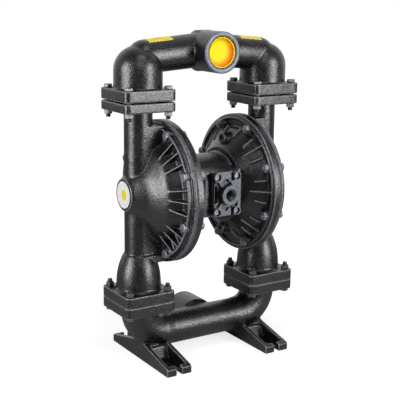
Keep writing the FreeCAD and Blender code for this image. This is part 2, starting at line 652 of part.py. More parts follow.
def foot():
    """Channel-shaped foot with an open bolt slot at each tip."""
    width = Vector(FOOT_OUT_X - FOOT_IN_X, 0, 0)
    outline = [(-FOOT_Y, 0), (FOOT_Y, 0), (FOOT_Y, FOOT_TIP_Z - 4), (FOOT_Y - 4, FOOT_TIP_Z),
               (30, FOOT_TOP_Z), (-30, FOOT_TOP_Z), (-FOOT_Y + 4, FOOT_TIP_Z),
               (-FOOT_Y, FOOT_TIP_Z - 4)]
    body = prism([Vector(FOOT_IN_X, y, z) for y, z in outline], width)
    saddle = block((FOOT_IN_X, FOOT_OUT_X), (-27, 27), (FOOT_TOP_Z - 2, 68))
    body = join(body, saddle)
    inner = Vector(width.x - 2 * FOOT_WALL, 0, 0)
    middle_x = (FOOT_IN_X + FOOT_OUT_X) / 2
    cuts = []
    for s in (-1, 1):
        channel = [(s * 42, 80), (s * 42, 40), (s * 60, FOOT_FLOOR), (s * 149, FOOT_FLOOR),
                   (s * 152, 80)]
        cuts.append(prism([Vector(FOOT_IN_X + FOOT_WALL, y, z) for y, z in channel], inner))
        cuts.append(bar_z(FOOT_SLOT_R, -1, 60, middle_x, s * FOOT_SLOT_Y))
        y = sorted((s * FOOT_SLOT_Y, s * (FOOT_Y + 1)))
        cuts.append(block((middle_x - FOOT_SLOT_R, middle_x + FOOT_SLOT_R), y, (-1, 60)))
    return without(body, *cuts)


def seat(face_z):
    """Ring with a round seat for the ball."""
    low = face_z - SEAT_HEIGHT
    ring = without(bar_z(SEAT_R, low, face_z, COLUMN_X), bar_z(SEAT_BORE_R, low - 1, face_z + 1,
                                                               COLUMN_X))
    hollow = Part.makeSphere(BALL_R + SEAT_GAP, Vector(COLUMN_X, 0, face_z + BALL_ABOVE_SEAT))
    groove = ring_z(face_z, 0.2)
    return without(ring, hollow, groove)


def ring_z(face_z, extra=0.0):
    """Torus of a seat's sealing ring, flush with the face above it."""
    return Part.makeTorus(SEAT_R - 7, RING_R + extra, Vector(COLUMN_X, 0, face_z - RING_R - 0.05),
                          UP)


def diaphragm():
    """Flat elastomer disc with a moulded bead and one shallow convolution."""
    half = DIAPHRAGM_THICKNESS / 2
    bead = BEAD_THICKNESS / 2
    x = PARTING_X
    return turned_x(
        (lines, [(x - half, ROD_BOLT_R + 0.5), (x + half, ROD_BOLT_R + 0.5),
                 (x + half, PLATE_R + 6)]),
        (smooth, [(x + half, PLATE_R + 6), (x - 5, 128), (x + half, 152)]),
        (lines, [(x + half, 152), (x + half, BEAD_IN_R), (x + bead, BEAD_IN_R + 1.5),
                 (x + bead, BEAD_OUT_R), (x - bead, BEAD_OUT_R), (x - bead, BEAD_IN_R + 1.5),
                 (x - half, BEAD_IN_R), (x - half, 152)]),
        (smooth, [(x - half, 152), (x - 5 - DIAPHRAGM_THICKNESS, 128), (x - half, PLATE_R + 6)]),
        (lines, [(x - half, PLATE_R + 6), (x - half, ROD_BOLT_R + 0.5)]))


def rod_group():
    """Rod and what is clamped on it, for both sides."""
    half = DIAPHRAGM_THICKNESS / 2
    face = PARTING_X - half
    rod = without(bar_x(ROD_R, -ROD_END_X, ROD_END_X),
                  bar_x(ROD_BOLT_R, -ROD_END_X - 1, -ROD_END_X + 40),
                  bar_x(ROD_BOLT_R, ROD_END_X - 40, ROD_END_X + 1))
    keep("diaphragm_rod", rod)
    inner_plate = turned_x((lines, [(ROD_END_X, ROD_BOLT_R + 0.2), (ROD_END_X, 58),
                                    (ROD_END_X + 3, 61), (face - 8, 92), (face - 5, PLATE_R),
                                    (face, PLATE_R), (face, ROD_BOLT_R + 0.2)]))
    back = PARTING_X + half
    outer_plate = turned_x((lines, [(back, ROD_BOLT_R + 0.2), (back, PLATE_R),
                                    (back + 4, PLATE_R)]),
                           (smooth, [(back + 4, PLATE_R), (back + 14, 80), (back + 24, 50),
                                     (back + 27, 26)]),
                           (lines, [(back + 27, 26), (back + 27, ROD_BOLT_R + 0.2)]))
    bolt_seat = back + 27
    shank = bar_x(ROD_BOLT_R - 0.02, ROD_END_X - 34, bolt_seat)
    head = hexagon(30, Vector(bolt_seat, 0, RIM_Z), EAST, 13)
    washer = bar_x(21, bolt_seat, bolt_seat + 3)
    rod_bolt = join(shank, head, washer)
    for name, side in SIDES:
        keep(name + "_inner_plate", on_side(inner_plate, side))
        keep(name + "_outer_plate", on_side(outer_plate, side))
        keep(name + "_rod_bolt", on_side(rod_bolt, side))
        keep(name + "_diaphragm", on_side(diaphragm(), side))


def air_valve():
    """Sleeve, spool, end plugs and the pilot rod of the air distribution valve."""
    end = BODY_X - 9
    sleeve = without(bar_x(SLEEVE_R, -end, end, VALVE_Y),
                     bar_x(SPOOL_R + FIT, -end - 1, end + 1, VALVE_Y))
    for x in (-34, -17, 0, 17, 34):
        slot = without(bar_x(SLEEVE_R + 1, x - 4, x + 4, VALVE_Y),
                       bar_x(SLEEVE_R - 2, x - 5, x + 5, VALVE_Y))
        ports = [bar_y(3, VALVE_Y - 25, VALVE_Y + 25, x), bar_z(3, RIM_Z - 25, RIM_Z + 25, x,
                                                               VALVE_Y)]
        sleeve = without(sleeve, slot, *ports)
    half = SPOOL_LENGTH / 2
    spool = bar_x(SPOOL_R, -half, half, VALVE_Y)
    for x in (-22, 22):
        waist = without(bar_x(SPOOL_R + 1, x - 9, x + 9, VALVE_Y),
                        bar_x(9, x - 10, x + 10, VALVE_Y))
        spool = without(spool, waist)
    keep("valve_sleeve", sleeve)
    keep("valve_spool", spool)
    keep("pilot_rod", bar_x(PILOT_R, -PILOT_END_X, PILOT_END_X, PILOT_Y, PILOT_Z))
    plug = join(bar_x(SLEEVE_R - 0.02, end, BODY_X - 0.5, VALVE_Y),
                bar_x(8, end - 6, end + 1, VALVE_Y))
    bush = without(bar_x(20, 40, BODY_X - 1), bar_x(ROD_R + FIT, 39, BODY_X))
    seal = without(bar_x(21.8, HUB_X + 1, HUB_X + 7.5), bar_x(ROD_R + FIT, HUB_X, HUB_X + 8))
    for name, side in SIDES:
        keep(name + "_sleeve_plug", on_side(plug, side))
        keep(name + "_rod_bushing", on_side(bush, side))
        keep(name + "_rod_seal", on_side(seal, side))


def gaskets():
    """Sheet gaskets of the cover and of the two hubs."""
    sheet = block((-COVER_X + 0.5, COVER_X - 0.5), (BODY_FACE_Y - GASKET, BODY_FACE_Y),
                  (RIM_Z - BODY_BLOCK_Z + 4.5, RIM_Z + BODY_BLOCK_Z - 4.5))
    holes = [bar_y(3.6, BODY_FACE_Y - 2, BODY_FACE_Y + 1, x, z) for x, z in cover_spots()]
    keep("cover_gasket", without(sheet, bar_y(13, BODY_FACE_Y - 2, BODY_FACE_Y + 1), *holes))
    ring = without(bar_x(BODY_R - 1, BODY_X, HUB_X), bar_x(24, BODY_X - 1, HUB_X + 1),
                   bar_x(PILOT_R + 0.3, BODY_X - 1, HUB_X + 1, PILOT_Y, PILOT_Z),
                   *[bar_x(5.5, BODY_X - 1, HUB_X + 1, y, z) for y, z in hub_screw_spots()])
    for name, side in SIDES:
        keep(name + "_hub_gasket", on_side(ring, side))


def flange_fasteners():
    """Bolts and nuts of the four square flanges."""
    groups = {
        "discharge_flange": (DISCHARGE_FACE_Z + TOP_PLATE_ABOVE,
                             DISCHARGE_FACE_Z - TOP_PLATE_BELOW, 1),
        "suction_flange": (SUCTION_FACE_Z - LOW_PLATE_BELOW,
                           SUCTION_FACE_Z + LOW_PLATE_ABOVE, -1)}
    for name, (head_z, nut_z, up) in groups.items():
        bolts = []
        nuts = []
        for px, py in flange_spots(-COLUMN_X) + flange_spots(COLUMN_X):
            end_z = nut_z - up * (FLANGE_NUT + STUD_END)
            shank = bar_z(FLANGE_BOLT_R, min(head_z, end_z), max(head_z, end_z), px, py)
            head = hexagon(FLANGE_HEX, Vector(px, py, head_z), UP * up, FLANGE_HEAD)
            bolts.append(join(shank, head))
            nut = hexagon(FLANGE_HEX, Vector(px, py, nut_z), UP * -up, FLANGE_NUT)
            hole = bar_z(FLANGE_BOLT_R + 0.02, nut_z - 20, nut_z + 20, px, py)
            nuts.append(without(nut, hole))
        keep(name + "_bolts", Part.makeCompound(bolts))
        keep(name + "_nuts", Part.makeCompound(nuts))


def rim_fasteners():
    """Eight bolts and nuts round each pair of caps."""
    z = RIM_Z + RIM_BOLT_CIRCLE
    seat_x = POCKET_X + 4
    bolt = join(bar_x(RIM_BOLT_R, RIM_END_X, seat_x, 0, z),
                hexagon(RIM_HEX, Vector(seat_x, 0, z), EAST, RIM_HEAD))
    nut = without(hexagon(RIM_HEX, Vector(RIM_BOSS_X, 0, z), EAST * -1, RIM_NUT),
                  bar_x(RIM_BOLT_R + 0.02, RIM_END_X - 1, RIM_BOSS_X + 1, 0, z))
    for name, side in SIDES:
        bolts = [on_side(around_rim(bolt, a), side) for a in bolt_angles()]
        nuts = [on_side(around_rim(nut, a), side) for a in bolt_angles()]
        keep(name + "_rim_bolts", Part.makeCompound(bolts))
        keep(name + "_rim_nuts", Part.makeCompound(nuts))


def small_screws():
    """Hub screws inside the air chambers and round-headed screws of the cover."""
    seat_x = HUB_X + HUB_WALL
    screws = [join(bar_x(4.2, HUB_X - 22, seat_x, y, z), bar_x(7.5, seat_x, seat_x + 8, y, z))
              for y, z in hub_screw_spots()]
    for name, side in SIDES:
        keep(name + "_hub_screws", Part.makeCompound([on_side(s, side) for s in screws]))
    well = COVER_FACE_Y + 5
    heads = []
    for x, z in cover_spots():
        head = without(join(bar_y(7, well - 6, well, x, z),
                            bar_y(3.3, well - 1, BODY_FACE_Y + 20, x, z)),
                       hexagon(6, Vector(x, well - 7, z), NORTH, 4))
        heads.append(head)
    keep("cover_screws", Part.makeCompound(heads))


def trim():
    """Silencer, port plug and the blank labels."""
    muffler = join(bar_y(INLET_THREAD_R - 0.1, EXHAUST_FACE_Y - 18, EXHAUST_FACE_Y),
                   hexagon(MUFFLER_HEX, Vector(0, EXHAUST_FACE_Y, RIM_Z), NORTH, 9),
                   bar_y(MUFFLER_R, EXHAUST_FACE_Y + 8, MUFFLER_END_Y))
    for y in range(120, 153, 8):
        ring = without(bar_y(MUFFLER_R + 1, y, y + 3), bar_y(MUFFLER_R - 3.5, y - 1, y + 4))
        muffler = without(muffler, ring)
    muffler = without(muffler, bar_y(11, EXHAUST_FACE_Y - 19, MUFFLER_END_Y - 10))
    keep("exhaust_muffler", muffler)

    plug_r = PORT_THREAD_R - 0.6
    rim_y = TOP_PORT_Y + PLUG_INSET
    end_y = rim_y + PLUG_DEPTH
    floor_y = rim_y + 11
    cup = without(bar_y(plug_r, rim_y, end_y, 0, DISCHARGE_PIPE_Z),
                  bar_y(plug_r - 3, rim_y - 1, floor_y, 0, DISCHARGE_PIPE_Z),
                  bar_y(plug_r - 4.5, floor_y + PLUG_FLOOR, end_y + 1, 0, DISCHARGE_PIPE_Z))
    keep("port_plug", cup)

    disc = bar_x(DOME_LABEL_R, BOSS_X, BOSS_X + FILM)
    strip = without(top_pipe(FILM), top_pipe()).common(
        block((PIPE_LABEL_X, PIPE_LABEL_X + PIPE_LABEL), (-PIPE_LABEL_HALF, PIPE_LABEL_HALF),
              (PIPE_END_Z, CROWN_Z + 60)))
    for name, side in SIDES:
        keep(name + "_dome_label", on_side(disc, side))
        keep(name + "_pipe_label", on_side(strip, side))


def check_valves():
    """Four balls, their seats and the sealing rings."""
    levels = (("suction", SUCTION_FACE_Z), ("discharge", DISCHARGE_FACE_Z))
    for level, face_z in levels:
        ball = Part.makeSphere(BALL_R, Vector(COLUMN_X, 0, face_z + BALL_ABOVE_SEAT))
        for name, side in SIDES:
            keep(name + "_" + level + "_ball", on_side(ball, side))
            keep(name + "_" + level + "_seat", on_side(seat(face_z), side))
        rings = [on_side(ring_z(face_z), side) for name, side in SIDES]
        keep(level + "_seat_rings", Part.makeCompound(rings))


def main():
    for name, side in SIDES:
        keep(name + "_outer_cap", on_side(outer_cap(), side))
        keep(name + "_inner_cap", on_side(inner_cap(), side))
    keep("centre_body", centre_body())
    keep("front_cover", front_cover())
    keep("discharge_manifold", discharge_manifold())
    keep("suction_manifold", suction_manifold())
    rod_group()
    air_valve()
    gaskets()
    check_valves()
    flange_fasteners()
    rim_fasteners()
    small_screws()
    trim()
    os.makedirs("parts", exist_ok=True)
    for name, shape in pieces.items():
        shape.exportStep("parts/" + name + ".step")
        box = shape.BoundBox
        print("%-24s solids %2d valid %s volume %9.1f cm3  x %7.1f %7.1f  y %7.1f %7.1f  z %6.1f %6.1f"
              % (name, len(shape.Solids), shape.isValid(), shape.Volume / 1000, box.XMin,
                 box.XMax, box.YMin, box.YMax, box.ZMin, box.ZMax))
    print(len(pieces), "pieces")


main()
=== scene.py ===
# %% [markdown]
# An air operated double diaphragm pump, dressed for a product picture.
#
# The shape of every part comes from a packed construction model, the frame. It is loaded first,
# in metres, with the floor at z = 0. Everything below gives those parts their real surfaces:
# sand-cast aluminium under satin black enamel, dark bolts, a yellow plug and plain labels.

# %% Load the frame
import bmesh
import bpy
import math
from mathutils import Matrix, Vector


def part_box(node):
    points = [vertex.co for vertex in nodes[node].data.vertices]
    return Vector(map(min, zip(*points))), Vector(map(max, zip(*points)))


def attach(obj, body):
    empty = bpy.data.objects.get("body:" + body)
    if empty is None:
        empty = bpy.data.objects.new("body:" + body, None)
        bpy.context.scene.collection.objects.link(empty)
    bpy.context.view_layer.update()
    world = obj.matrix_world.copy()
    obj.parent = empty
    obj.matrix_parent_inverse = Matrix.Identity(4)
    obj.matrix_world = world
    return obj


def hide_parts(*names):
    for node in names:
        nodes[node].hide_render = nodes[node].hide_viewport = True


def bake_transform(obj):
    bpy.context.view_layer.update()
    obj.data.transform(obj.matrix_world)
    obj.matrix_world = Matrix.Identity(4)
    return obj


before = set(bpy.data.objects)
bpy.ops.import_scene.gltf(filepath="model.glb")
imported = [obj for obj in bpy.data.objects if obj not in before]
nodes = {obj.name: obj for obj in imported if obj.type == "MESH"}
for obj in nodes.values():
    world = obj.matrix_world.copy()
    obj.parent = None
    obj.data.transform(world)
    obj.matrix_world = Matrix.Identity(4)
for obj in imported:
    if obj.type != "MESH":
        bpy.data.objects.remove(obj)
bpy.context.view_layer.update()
scene = bpy.context.scene

# %% [markdown]
# Drawings are in millimetres and Blender is in metres, so sizes are written as a number times
# MM. The places of the parts are read from the frame, not typed again.

# %% Units and places
MM = 0.001


def mm(*values):
    """Millimetres to a vector in metres."""
    return Vector(values) * MM


def middle(name):
    """Middle of a part's box."""
    low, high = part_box(name)
    return (Vector(low) + Vector(high)) / 2


SIDES = (("left", -1), ("right", 1))
ROD_Z = middle("diaphragm_rod").z
COLUMN_X = middle("right_suction_ball").x
PORT_CENTRE = middle("port_plug")
print("rod height", round(ROD_Z, 4), "columns at", round(COLUMN_X, 4))

# %% [markdown]
# The camera stands where the photographer stood: 2.7 m away, 33 degrees round towards the left
# chamber and 13 degrees above the horizon. A long lens keeps the verticals nearly parallel.
# The tilt of 0.7 degrees is the photographer's own.

# %% Camera
CAMERA_YAW = math.radians(32.53)
CAMERA_PITCH = math.radians(12.93)
CAMERA_ROLL = math.radians(0.69)
CAMERA_DISTANCE = 2.7199
CAMERA_AIM = mm(0, 0, 450.7)
CAMERA_SIDESTEP = -3.5 * MM
FOCAL_PIXELS = 929.3
IMAGE_PIXELS = 400
SENSOR = 36.0


def add_camera():
    """Camera that looks at the aim point, with the picture's own tilt."""
    right = Vector((math.cos(CAMERA_YAW), -math.sin(CAMERA_YAW), 0))
    look = Vector((math.sin(CAMERA_YAW) * math.cos(CAMERA_PITCH),
                   math.cos(CAMERA_YAW) * math.cos(CAMERA_PITCH), -math.sin(CAMERA_PITCH)))
    up = right.cross(look)
    place = CAMERA_AIM + right * CAMERA_SIDESTEP - look * CAMERA_DISTANCE
    across = right * math.cos(CAMERA_ROLL) + up * math.sin(CAMERA_ROLL)
    upward = up * math.cos(CAMERA_ROLL) - right * math.sin(CAMERA_ROLL)
    camera = bpy.data.objects.new("camera", bpy.data.cameras.new("camera"))
    camera.data.sensor_width = SENSOR
    camera.data.lens = SENSOR * FOCAL_PIXELS / IMAGE_PIXELS
    axes = Matrix((across, upward, -look)).transposed()
    camera.matrix_world = Matrix.Translation(place) @ axes.to_4x4()
    scene.collection.objects.link(camera)
    scene.camera = camera
    return camera


print("camera at", [round(v, 3) for v in add_camera().location])

# %% [markdown]
# Black enamel shows its lamps more than its colour, so the lamps decide how the pump looks.
# The photograph has two tall soft bands on every round column: one lamp stands on each side,
# large and upright. A honeycomb in front of each narrows its beam, and both are aimed high, so
# the feet fall into shade as they do in the picture. Two weak lamps hang higher up.

# %% Lamps
TALL_BOX = dict(height=1.05, distance=2.0, width=1.0, tall=1.8, aim_z=0.85)


def add_lamp(name, azimuth, height, distance, width, tall, power, aim_z=0.47, beam=180):
    """Soft box that faces the pump. Azimuth is measured round from the camera's direction."""
    angle = CAMERA_YAW + math.pi - math.radians(azimuth)
    place = Vector((math.sin(angle), math.cos(angle), 0)) * distance + Vector((0, 0, height))
    lamp = bpy.data.lights.new(name, "AREA")
    lamp.shape = "RECTANGLE"
    lamp.size = width
    lamp.size_y = tall
    lamp.energy = power
    lamp.spread = math.radians(beam)
    holder = bpy.data.objects.new(name, lamp)
    holder.location = place
    aim = Vector((0, 0, aim_z)) - place
    holder.rotation_euler = aim.to_track_quat("-Z", "Y").to_euler()
    scene.collection.objects.link(holder)


add_lamp("left_softbox", azimuth=-54, power=8.6, beam=75, **TALL_BOX)
add_lamp("right_softbox", azimuth=57, power=7.6, beam=70, **TALL_BOX)
add_lamp("high_softbox", azimuth=10, height=2.1, distance=2.2, width=1.1, tall=0.9, power=0.8,
         aim_z=1.0, beam=60)
add_lamp("top_softbox", azimuth=25, height=2.7, distance=1.0, width=0.9, tall=0.9, power=6)
print(len(bpy.data.lights), "lamps")

# %% [markdown]
# A material is a small graph of nodes. One function adds a node, sets its values and links its
# inputs. Colours are written as a painter's hex values and turned to linear light.

# %% Nodes and colours


def linear(code):
    """sRGB hex such as #1c1c1f to linear RGBA."""
    parts = [int(code[i:i + 2], 16) / 255 for i in (1, 3, 5)]
    return tuple(p / 12.92 if p <= 0.04045 else ((p + 0.055) / 1.055) ** 2.4
                 for p in parts) + (1.0,)


def add_node(tree, kind, inputs=None, stops=(), **settings):
    """Adds a node. An input is a value, a socket, or a node that gives its first output.
    Stops are the (position, hex) pairs of a colour ramp."""
    node = tree.nodes.new(kind)
    for key, value in settings.items():
        setattr(node, key, value)
    for key, value in (inputs or {}).items():
        if isinstance(value, bpy.types.Node):
            value = value.outputs[0]
        if isinstance(value, bpy.types.NodeSocket):
            tree.links.new(value, node.inputs[key])
        else:
            node.inputs[key].default_value = value
    for i, (position, code) in enumerate(stops):
        elements = node.color_ramp.elements
        element = elements[i] if i < 2 else elements.new(position)
        element.position = position
        element.color = linear(code)
    return node


def new_material(name):
    """An empty material, with the piece's own coordinates."""
    material = bpy.data.materials.new(name)
    material.use_nodes = True
    tree = material.node_tree
    tree.nodes.clear()
    place = add_node(tree, "ShaderNodeTexCoord").outputs["Object"]
    return material, tree, place


def per_metre(size_mm):
    """Texture scale that gives features of this size."""
    return 1.0 / (size_mm * MM)


print("black enamel #0f1013 is", [round(v, 4) for v in linear("#0f1013")])

# %% [markdown]
# The floor is a soft white sheet that keeps the pump's shadow. To the camera it adds some white
# of its own, more with the distance, so that it fades into the white world with no horizon.

# %% Floor
GLOW_NEAR = 0.72        # white added under the pump, where 1 would be pure white
GLOW_REACH = (0.45, 1.3)
FLOOR_HALF = 6


def as_object(name, maker):
    """Ends a bmesh and returns it as an object whose place is in its mesh."""
    mesh = bpy.data.meshes.new(name)
    maker.to_mesh(mesh)
    maker.free()
    return bpy.data.objects.new(name, mesh)


def wear(thing, *materials):
    """Gives a piece these materials and no others."""
    thing.data.materials.clear()
    for material in materials:
        thing.data.materials.append(material)


def make_floor():
    material, tree, place = new_material("white paper")
    seen = add_node(tree, "ShaderNodeLightPath").outputs["Is Camera Ray"]
    paper = add_node(tree, "ShaderNodeBsdfDiffuse", {"Color": linear("#f4f4f5")})
    reach = add_node(tree, "ShaderNodeVectorMath", {0: place}, operation="LENGTH")
    white = add_node(tree, "ShaderNodeMapRange",
                     {0: reach.outputs["Value"], 1: GLOW_REACH[0], 2: GLOW_REACH[1],
                      3: GLOW_NEAR, 4: 1.0})
    glow = add_node(tree, "ShaderNodeEmission", {"Color": linear("#ffffff"), "Strength": white})
    both = add_node(tree, "ShaderNodeAddShader", {0: paper, 1: glow})
    mix = add_node(tree, "ShaderNodeMixShader", {0: seen, 1: paper, 2: both})
    add_node(tree, "ShaderNodeOutputMaterial", {"Surface": mix})
    sheet = bmesh.new()
    bmesh.ops.create_grid(sheet, x_segments=8, y_segments=8, size=FLOOR_HALF)
    floor = as_object("floor", sheet)
    wear(floor, material)
    scene.collection.objects.link(floor)


make_floor()
print("floor", 2 * FLOOR_HALF, "m wide")

# %% [markdown]
# The world is plain white to the camera and through glass. Gloss sees it white behind the pump
# and dim on the camera's side, as in a studio with a lit back wall. As light it is weak.

# %% World
WORLD_LIGHT = 0.12
MIRRORED_ROOM = 0.10
WALL_EDGE = (-0.1, 0.7)     # where the lit wall starts and is full, as a cosine


def make_world():
    world = bpy.data.worlds.new("studio")
    scene.world = world
    world.use_nodes = True
    tree = world.node_tree
    tree.nodes.clear()
    path = add_node(tree, "ShaderNodeLightPath").outputs
    way = add_node(tree, "ShaderNodeTexCoord").outputs["Generated"]
    wall = (math.sin(CAMERA_YAW), math.cos(CAMERA_YAW), 0)
    behind = add_node(tree, "ShaderNodeVectorMath", {0: way, 1: wall}, operation="DOT_PRODUCT")
    mirrored = add_node(tree, "ShaderNodeMapRange",
                        {0: behind.outputs["Value"], 1: WALL_EDGE[0], 2: WALL_EDGE[1],
                         3: MIRRORED_ROOM, 4: 1.0})
    glossy = add_node(tree, "ShaderNodeMath", {0: path["Is Glossy Ray"], 1: mirrored},
                      operation="MULTIPLY")
    plain = add_node(tree, "ShaderNodeMath",
                     {0: path["Is Camera Ray"], 1: path["Is Transmission Ray"]},
                     operation="MAXIMUM")
    seen = add_node(tree, "ShaderNodeMath", {0: plain, 1: glossy}, operation="MAXIMUM")
    strength = add_node(tree, "ShaderNodeMath", {0: seen, 1: WORLD_LIGHT}, operation="MAXIMUM")
    sky = add_node(tree, "ShaderNodeBackground",
                   {"Color": linear("#ffffff"), "Strength": strength})
    add_node(tree, "ShaderNodeOutputWorld", {"Surface": sky})


make_world()
scene.view_settings.view_transform = "Standard"
print("world", scene.world.name)

# %% [markdown]
# The castings. Molten aluminium in a sand mould keeps the sand's grain, about a millimetre, and
# gentle waves of a few centimetres. The grain is drawn three times coarser here, or the picture
# couldn't hold it. Satin black enamel rounds the grain off and pools between it. On the sharp
# edges the colour is lifted, a painted highlight. The eye reads it as black with a peppery
# sparkle, because each grain tilts its own bit of gloss.

# %% Enamelled sand casting
ENAMEL_IOR = 1.72
ENAMEL_GLOSS = (0.20, 0.45)
ENAMEL_BLACK = "#0f1013"
SAND_MM = 3.4
SAND_DEPTH = 0.5 * MM
WAVE_MM = 34
WAVE_DEPTH = 1.6 * MM
EDGE_HIGHLIGHT_POINTINESS = (0.509, 0.562)      # pointiness where the painted edge highlight starts and is full


def sand_cast_enamel(name, dark, light):
    """Enamel over sand grain. Dark is its tone in the pits, light is a painted highlight on the
    sharp edges.
    """
    material, tree, place = new_material(name)
    grain = add_node(tree, "ShaderNodeTexNoise", {"Vector": place, "Scale": per_metre(SAND_MM),
                                                  "Detail": 3.0, "Roughness": 0.62})
    pits = add_node(tree, "ShaderNodeTexVoronoi", {"Vector": place,
                                                   "Scale": per_metre(SAND_MM * 1.3)})
    waves = add_node(tree, "ShaderNodeTexNoise", {"Vector": place, "Scale": per_metre(WAVE_MM),
                                                  "Detail": 2.0})
    # Pointiness is high on sharp edges. There the colour is lifted towards the light tone, a
    # painted highlight.
    edge = add_node(tree, "ShaderNodeNewGeometry").outputs["Pointiness"]
    edge_highlight = add_node(tree, "ShaderNodeMapRange", {0: edge, 1: EDGE_HIGHLIGHT_POINTINESS[0], 2: EDGE_HIGHLIGHT_POINTINESS[1]})
    mottle = add_node(tree, "ShaderNodeMath", {0: grain, 1: edge_highlight}, operation="ADD")
    colour = add_node(tree, "ShaderNodeValToRGB", {0: mottle},
                      stops=[(0.38, dark), (0.62, ENAMEL_BLACK), (1.0, light)])
    gloss = add_node(tree, "ShaderNodeMapRange", {0: grain, 1: 0.35, 2: 0.68,
                                                  3: ENAMEL_GLOSS[0], 4: ENAMEL_GLOSS[1]})
    bumps = add_node(tree, "ShaderNodeMath", {0: grain, 1: 0.7}, operation="MULTIPLY")
    height = add_node(tree, "ShaderNodeMath", {0: pits, 1: 0.5, 2: bumps},
                      operation="MULTIPLY_ADD")
    fine = add_node(tree, "ShaderNodeBump", {"Height": height, "Distance": SAND_DEPTH,
                                             "Strength": 1.0})
    broad = add_node(tree, "ShaderNodeBump", {"Height": waves, "Distance": WAVE_DEPTH,
                                              "Strength": 0.8, "Normal": fine})
    skin = add_node(tree, "ShaderNodeBsdfPrincipled",
                    {"Base Color": colour, "Roughness": gloss, "IOR": ENAMEL_IOR,
                     "Normal": broad})
    add_node(tree, "ShaderNodeOutputMaterial", {"Surface": skin})
    return material


casting = sand_cast_enamel("satin black enamel on sand cast aluminium", "#050506", "#74747c")
# The fin crests get a lighter copy of the enamel: a painted highlight along the fins.
crest = sand_cast_enamel("enamel painted lighter on the fin crests as a highlight", "#3c3c42", "#a0a0a8")
print(casting.name, "and", crest.name)

# %% [markdown]
# Metals. Each is named for the real one. The turning marks on a machined face are a third of a
# millimetre apart, so they are drawn coarser here too. Smudges of a few centimetres break the
# gloss, as handling does.

# %% Metals
SMUDGE_MM = 26


def metal(name, colours, rough, mark_mm, stretch=(1, 1, 1), metallic=1.0, depth=0.08 * MM):
    """Metal with tool marks or grain. Stretch over 1 packs the marks along that axis."""
    material, tree, place = new_material(name)
    marks = add_node(tree, "ShaderNodeMapping", {"Vector": place, "Scale": stretch})
    grain = add_node(tree, "ShaderNodeTexNoise", {"Vector": marks, "Scale": per_metre(mark_mm),
                                                  "Detail": 3.0, "Roughness": 0.6})
    smudge = add_node(tree, "ShaderNodeTexNoise", {"Vector": place, "Detail": 2.0,
                                                   "Scale": per_metre(SMUDGE_MM)})
    colour = add_node(tree, "ShaderNodeValToRGB", {0: grain},
                      stops=[(0.30, colours[0]), (0.70, colours[1])])
    both = add_node(tree, "ShaderNodeMath", {0: smudge, 1: grain}, operation="MULTIPLY")
    gloss = add_node(tree, "ShaderNodeMapRange", {0: both, 1: 0.12, 2: 0.42,
                                                  3: rough[0], 4: rough[1]})
    bump = add_node(tree, "ShaderNodeBump", {"Height": grain, "Distance": depth,
                                             "Strength": 1.0})
    skin = add_node(tree, "ShaderNodeBsdfPrincipled",
                    {"Base Color": colour, "Metallic": metallic, "Roughness": gloss,
                     "Normal": bump})
    add_node(tree, "ShaderNodeOutputMaterial", {"Surface": skin})
    return material


machined = metal("machined aluminium", ("#494b54", "#7b7e89"), (0.38, 0.52), 2.0,
                 metallic=0.7)
# The raised cover faces: a thinner coat of their own, made lighter still by a painted highlight.
raised_face_coat_and_sheen = metal("thin enamel over raised cast faces", ("#2d2f34", "#8c9099"), (0.40, 0.60), 2.6,
                metallic=0.25, depth=0.30 * MM)
blackened = metal("oil blackened steel", ("#303236", "#7c7f85"), (0.28, 0.42), 1.6,
                  metallic=0.9)
bright_screw = metal("zinc plated steel", ("#7c7f87", "#b0b4bc"), (0.34, 0.50), 1.0,
                     metallic=0.8)
ground = metal("ground stainless steel", ("#9a9a9e", "#c9c9cd"), (0.16, 0.30), 0.8, (8, 1, 1))
cast_plate = metal("plain sand cast aluminium", ("#85868a", "#b9babf"), (0.42, 0.60), 2.4,
                   depth=0.20 * MM)
turned_seat = metal("turned aluminium", ("#a4a5aa", "#cbccd1"), (0.22, 0.36), 0.9, (1, 1, 6))
bronze = metal("turned bronze", ("#7d5a2c", "#b98a4b"), (0.28, 0.44), 0.9, (6, 1, 1))
print(len(bpy.data.materials), "materials so far")

# %% [markdown]
# Plastics and rubber leave the mould with one even colour and a fine skin. The eye tells rubber
# from nylon by its dull, wide highlight, so only the roughness and the skin's depth differ much.

# %% Plastics and rubber
PLASTIC_IOR = 1.5
CLOUD_MM = 22


def moulded(name, colours, rough, grain_mm, depth):
    """Moulded plastic or rubber: nearly even colour, a fine skin from the mould."""
    material, tree, place = new_material(name)
    grain = add_node(tree, "ShaderNodeTexNoise", {"Vector": place, "Scale": per_metre(grain_mm),
                                                  "Detail": 2.0})
    cloud = add_node(tree, "ShaderNodeTexNoise", {"Vector": place, "Scale": per_metre(CLOUD_MM),
                                                  "Detail": 2.0})
    colour = add_node(tree, "ShaderNodeValToRGB", {0: cloud},
                      stops=[(0.35, colours[0]), (0.65, colours[1])])
    gloss = add_node(tree, "ShaderNodeMapRange", {0: grain, 1: 0.35, 2: 0.65,
                                                  3: rough[0], 4: rough[1]})
    bump = add_node(tree, "ShaderNodeBump", {"Height": grain, "Distance": depth,
                                             "Strength": 0.7})
    skin = add_node(tree, "ShaderNodeBsdfPrincipled",
                    {"Base Color": colour, "Roughness": gloss, "IOR": PLASTIC_IOR,
                     "Normal": bump})
    add_node(tree, "ShaderNodeOutputMaterial", {"Surface": skin})
    return material


nitrile = moulded("matt nitrile rubber", ("#141414", "#1f1f20"), (0.62, 0.78), 1.4, 0.10 * MM)
sintered = moulded("sintered polyethylene", ("#19191b", "#26262a"), (0.60, 0.80), 2.2,
                   0.35 * MM)
dark_plastic = moulded("black nylon", ("#17171a", "#222226"), (0.38, 0.50), 1.6, 0.08 * MM)
print(nitrile.name, sintered.name, dark_plastic.name, sep=", ")

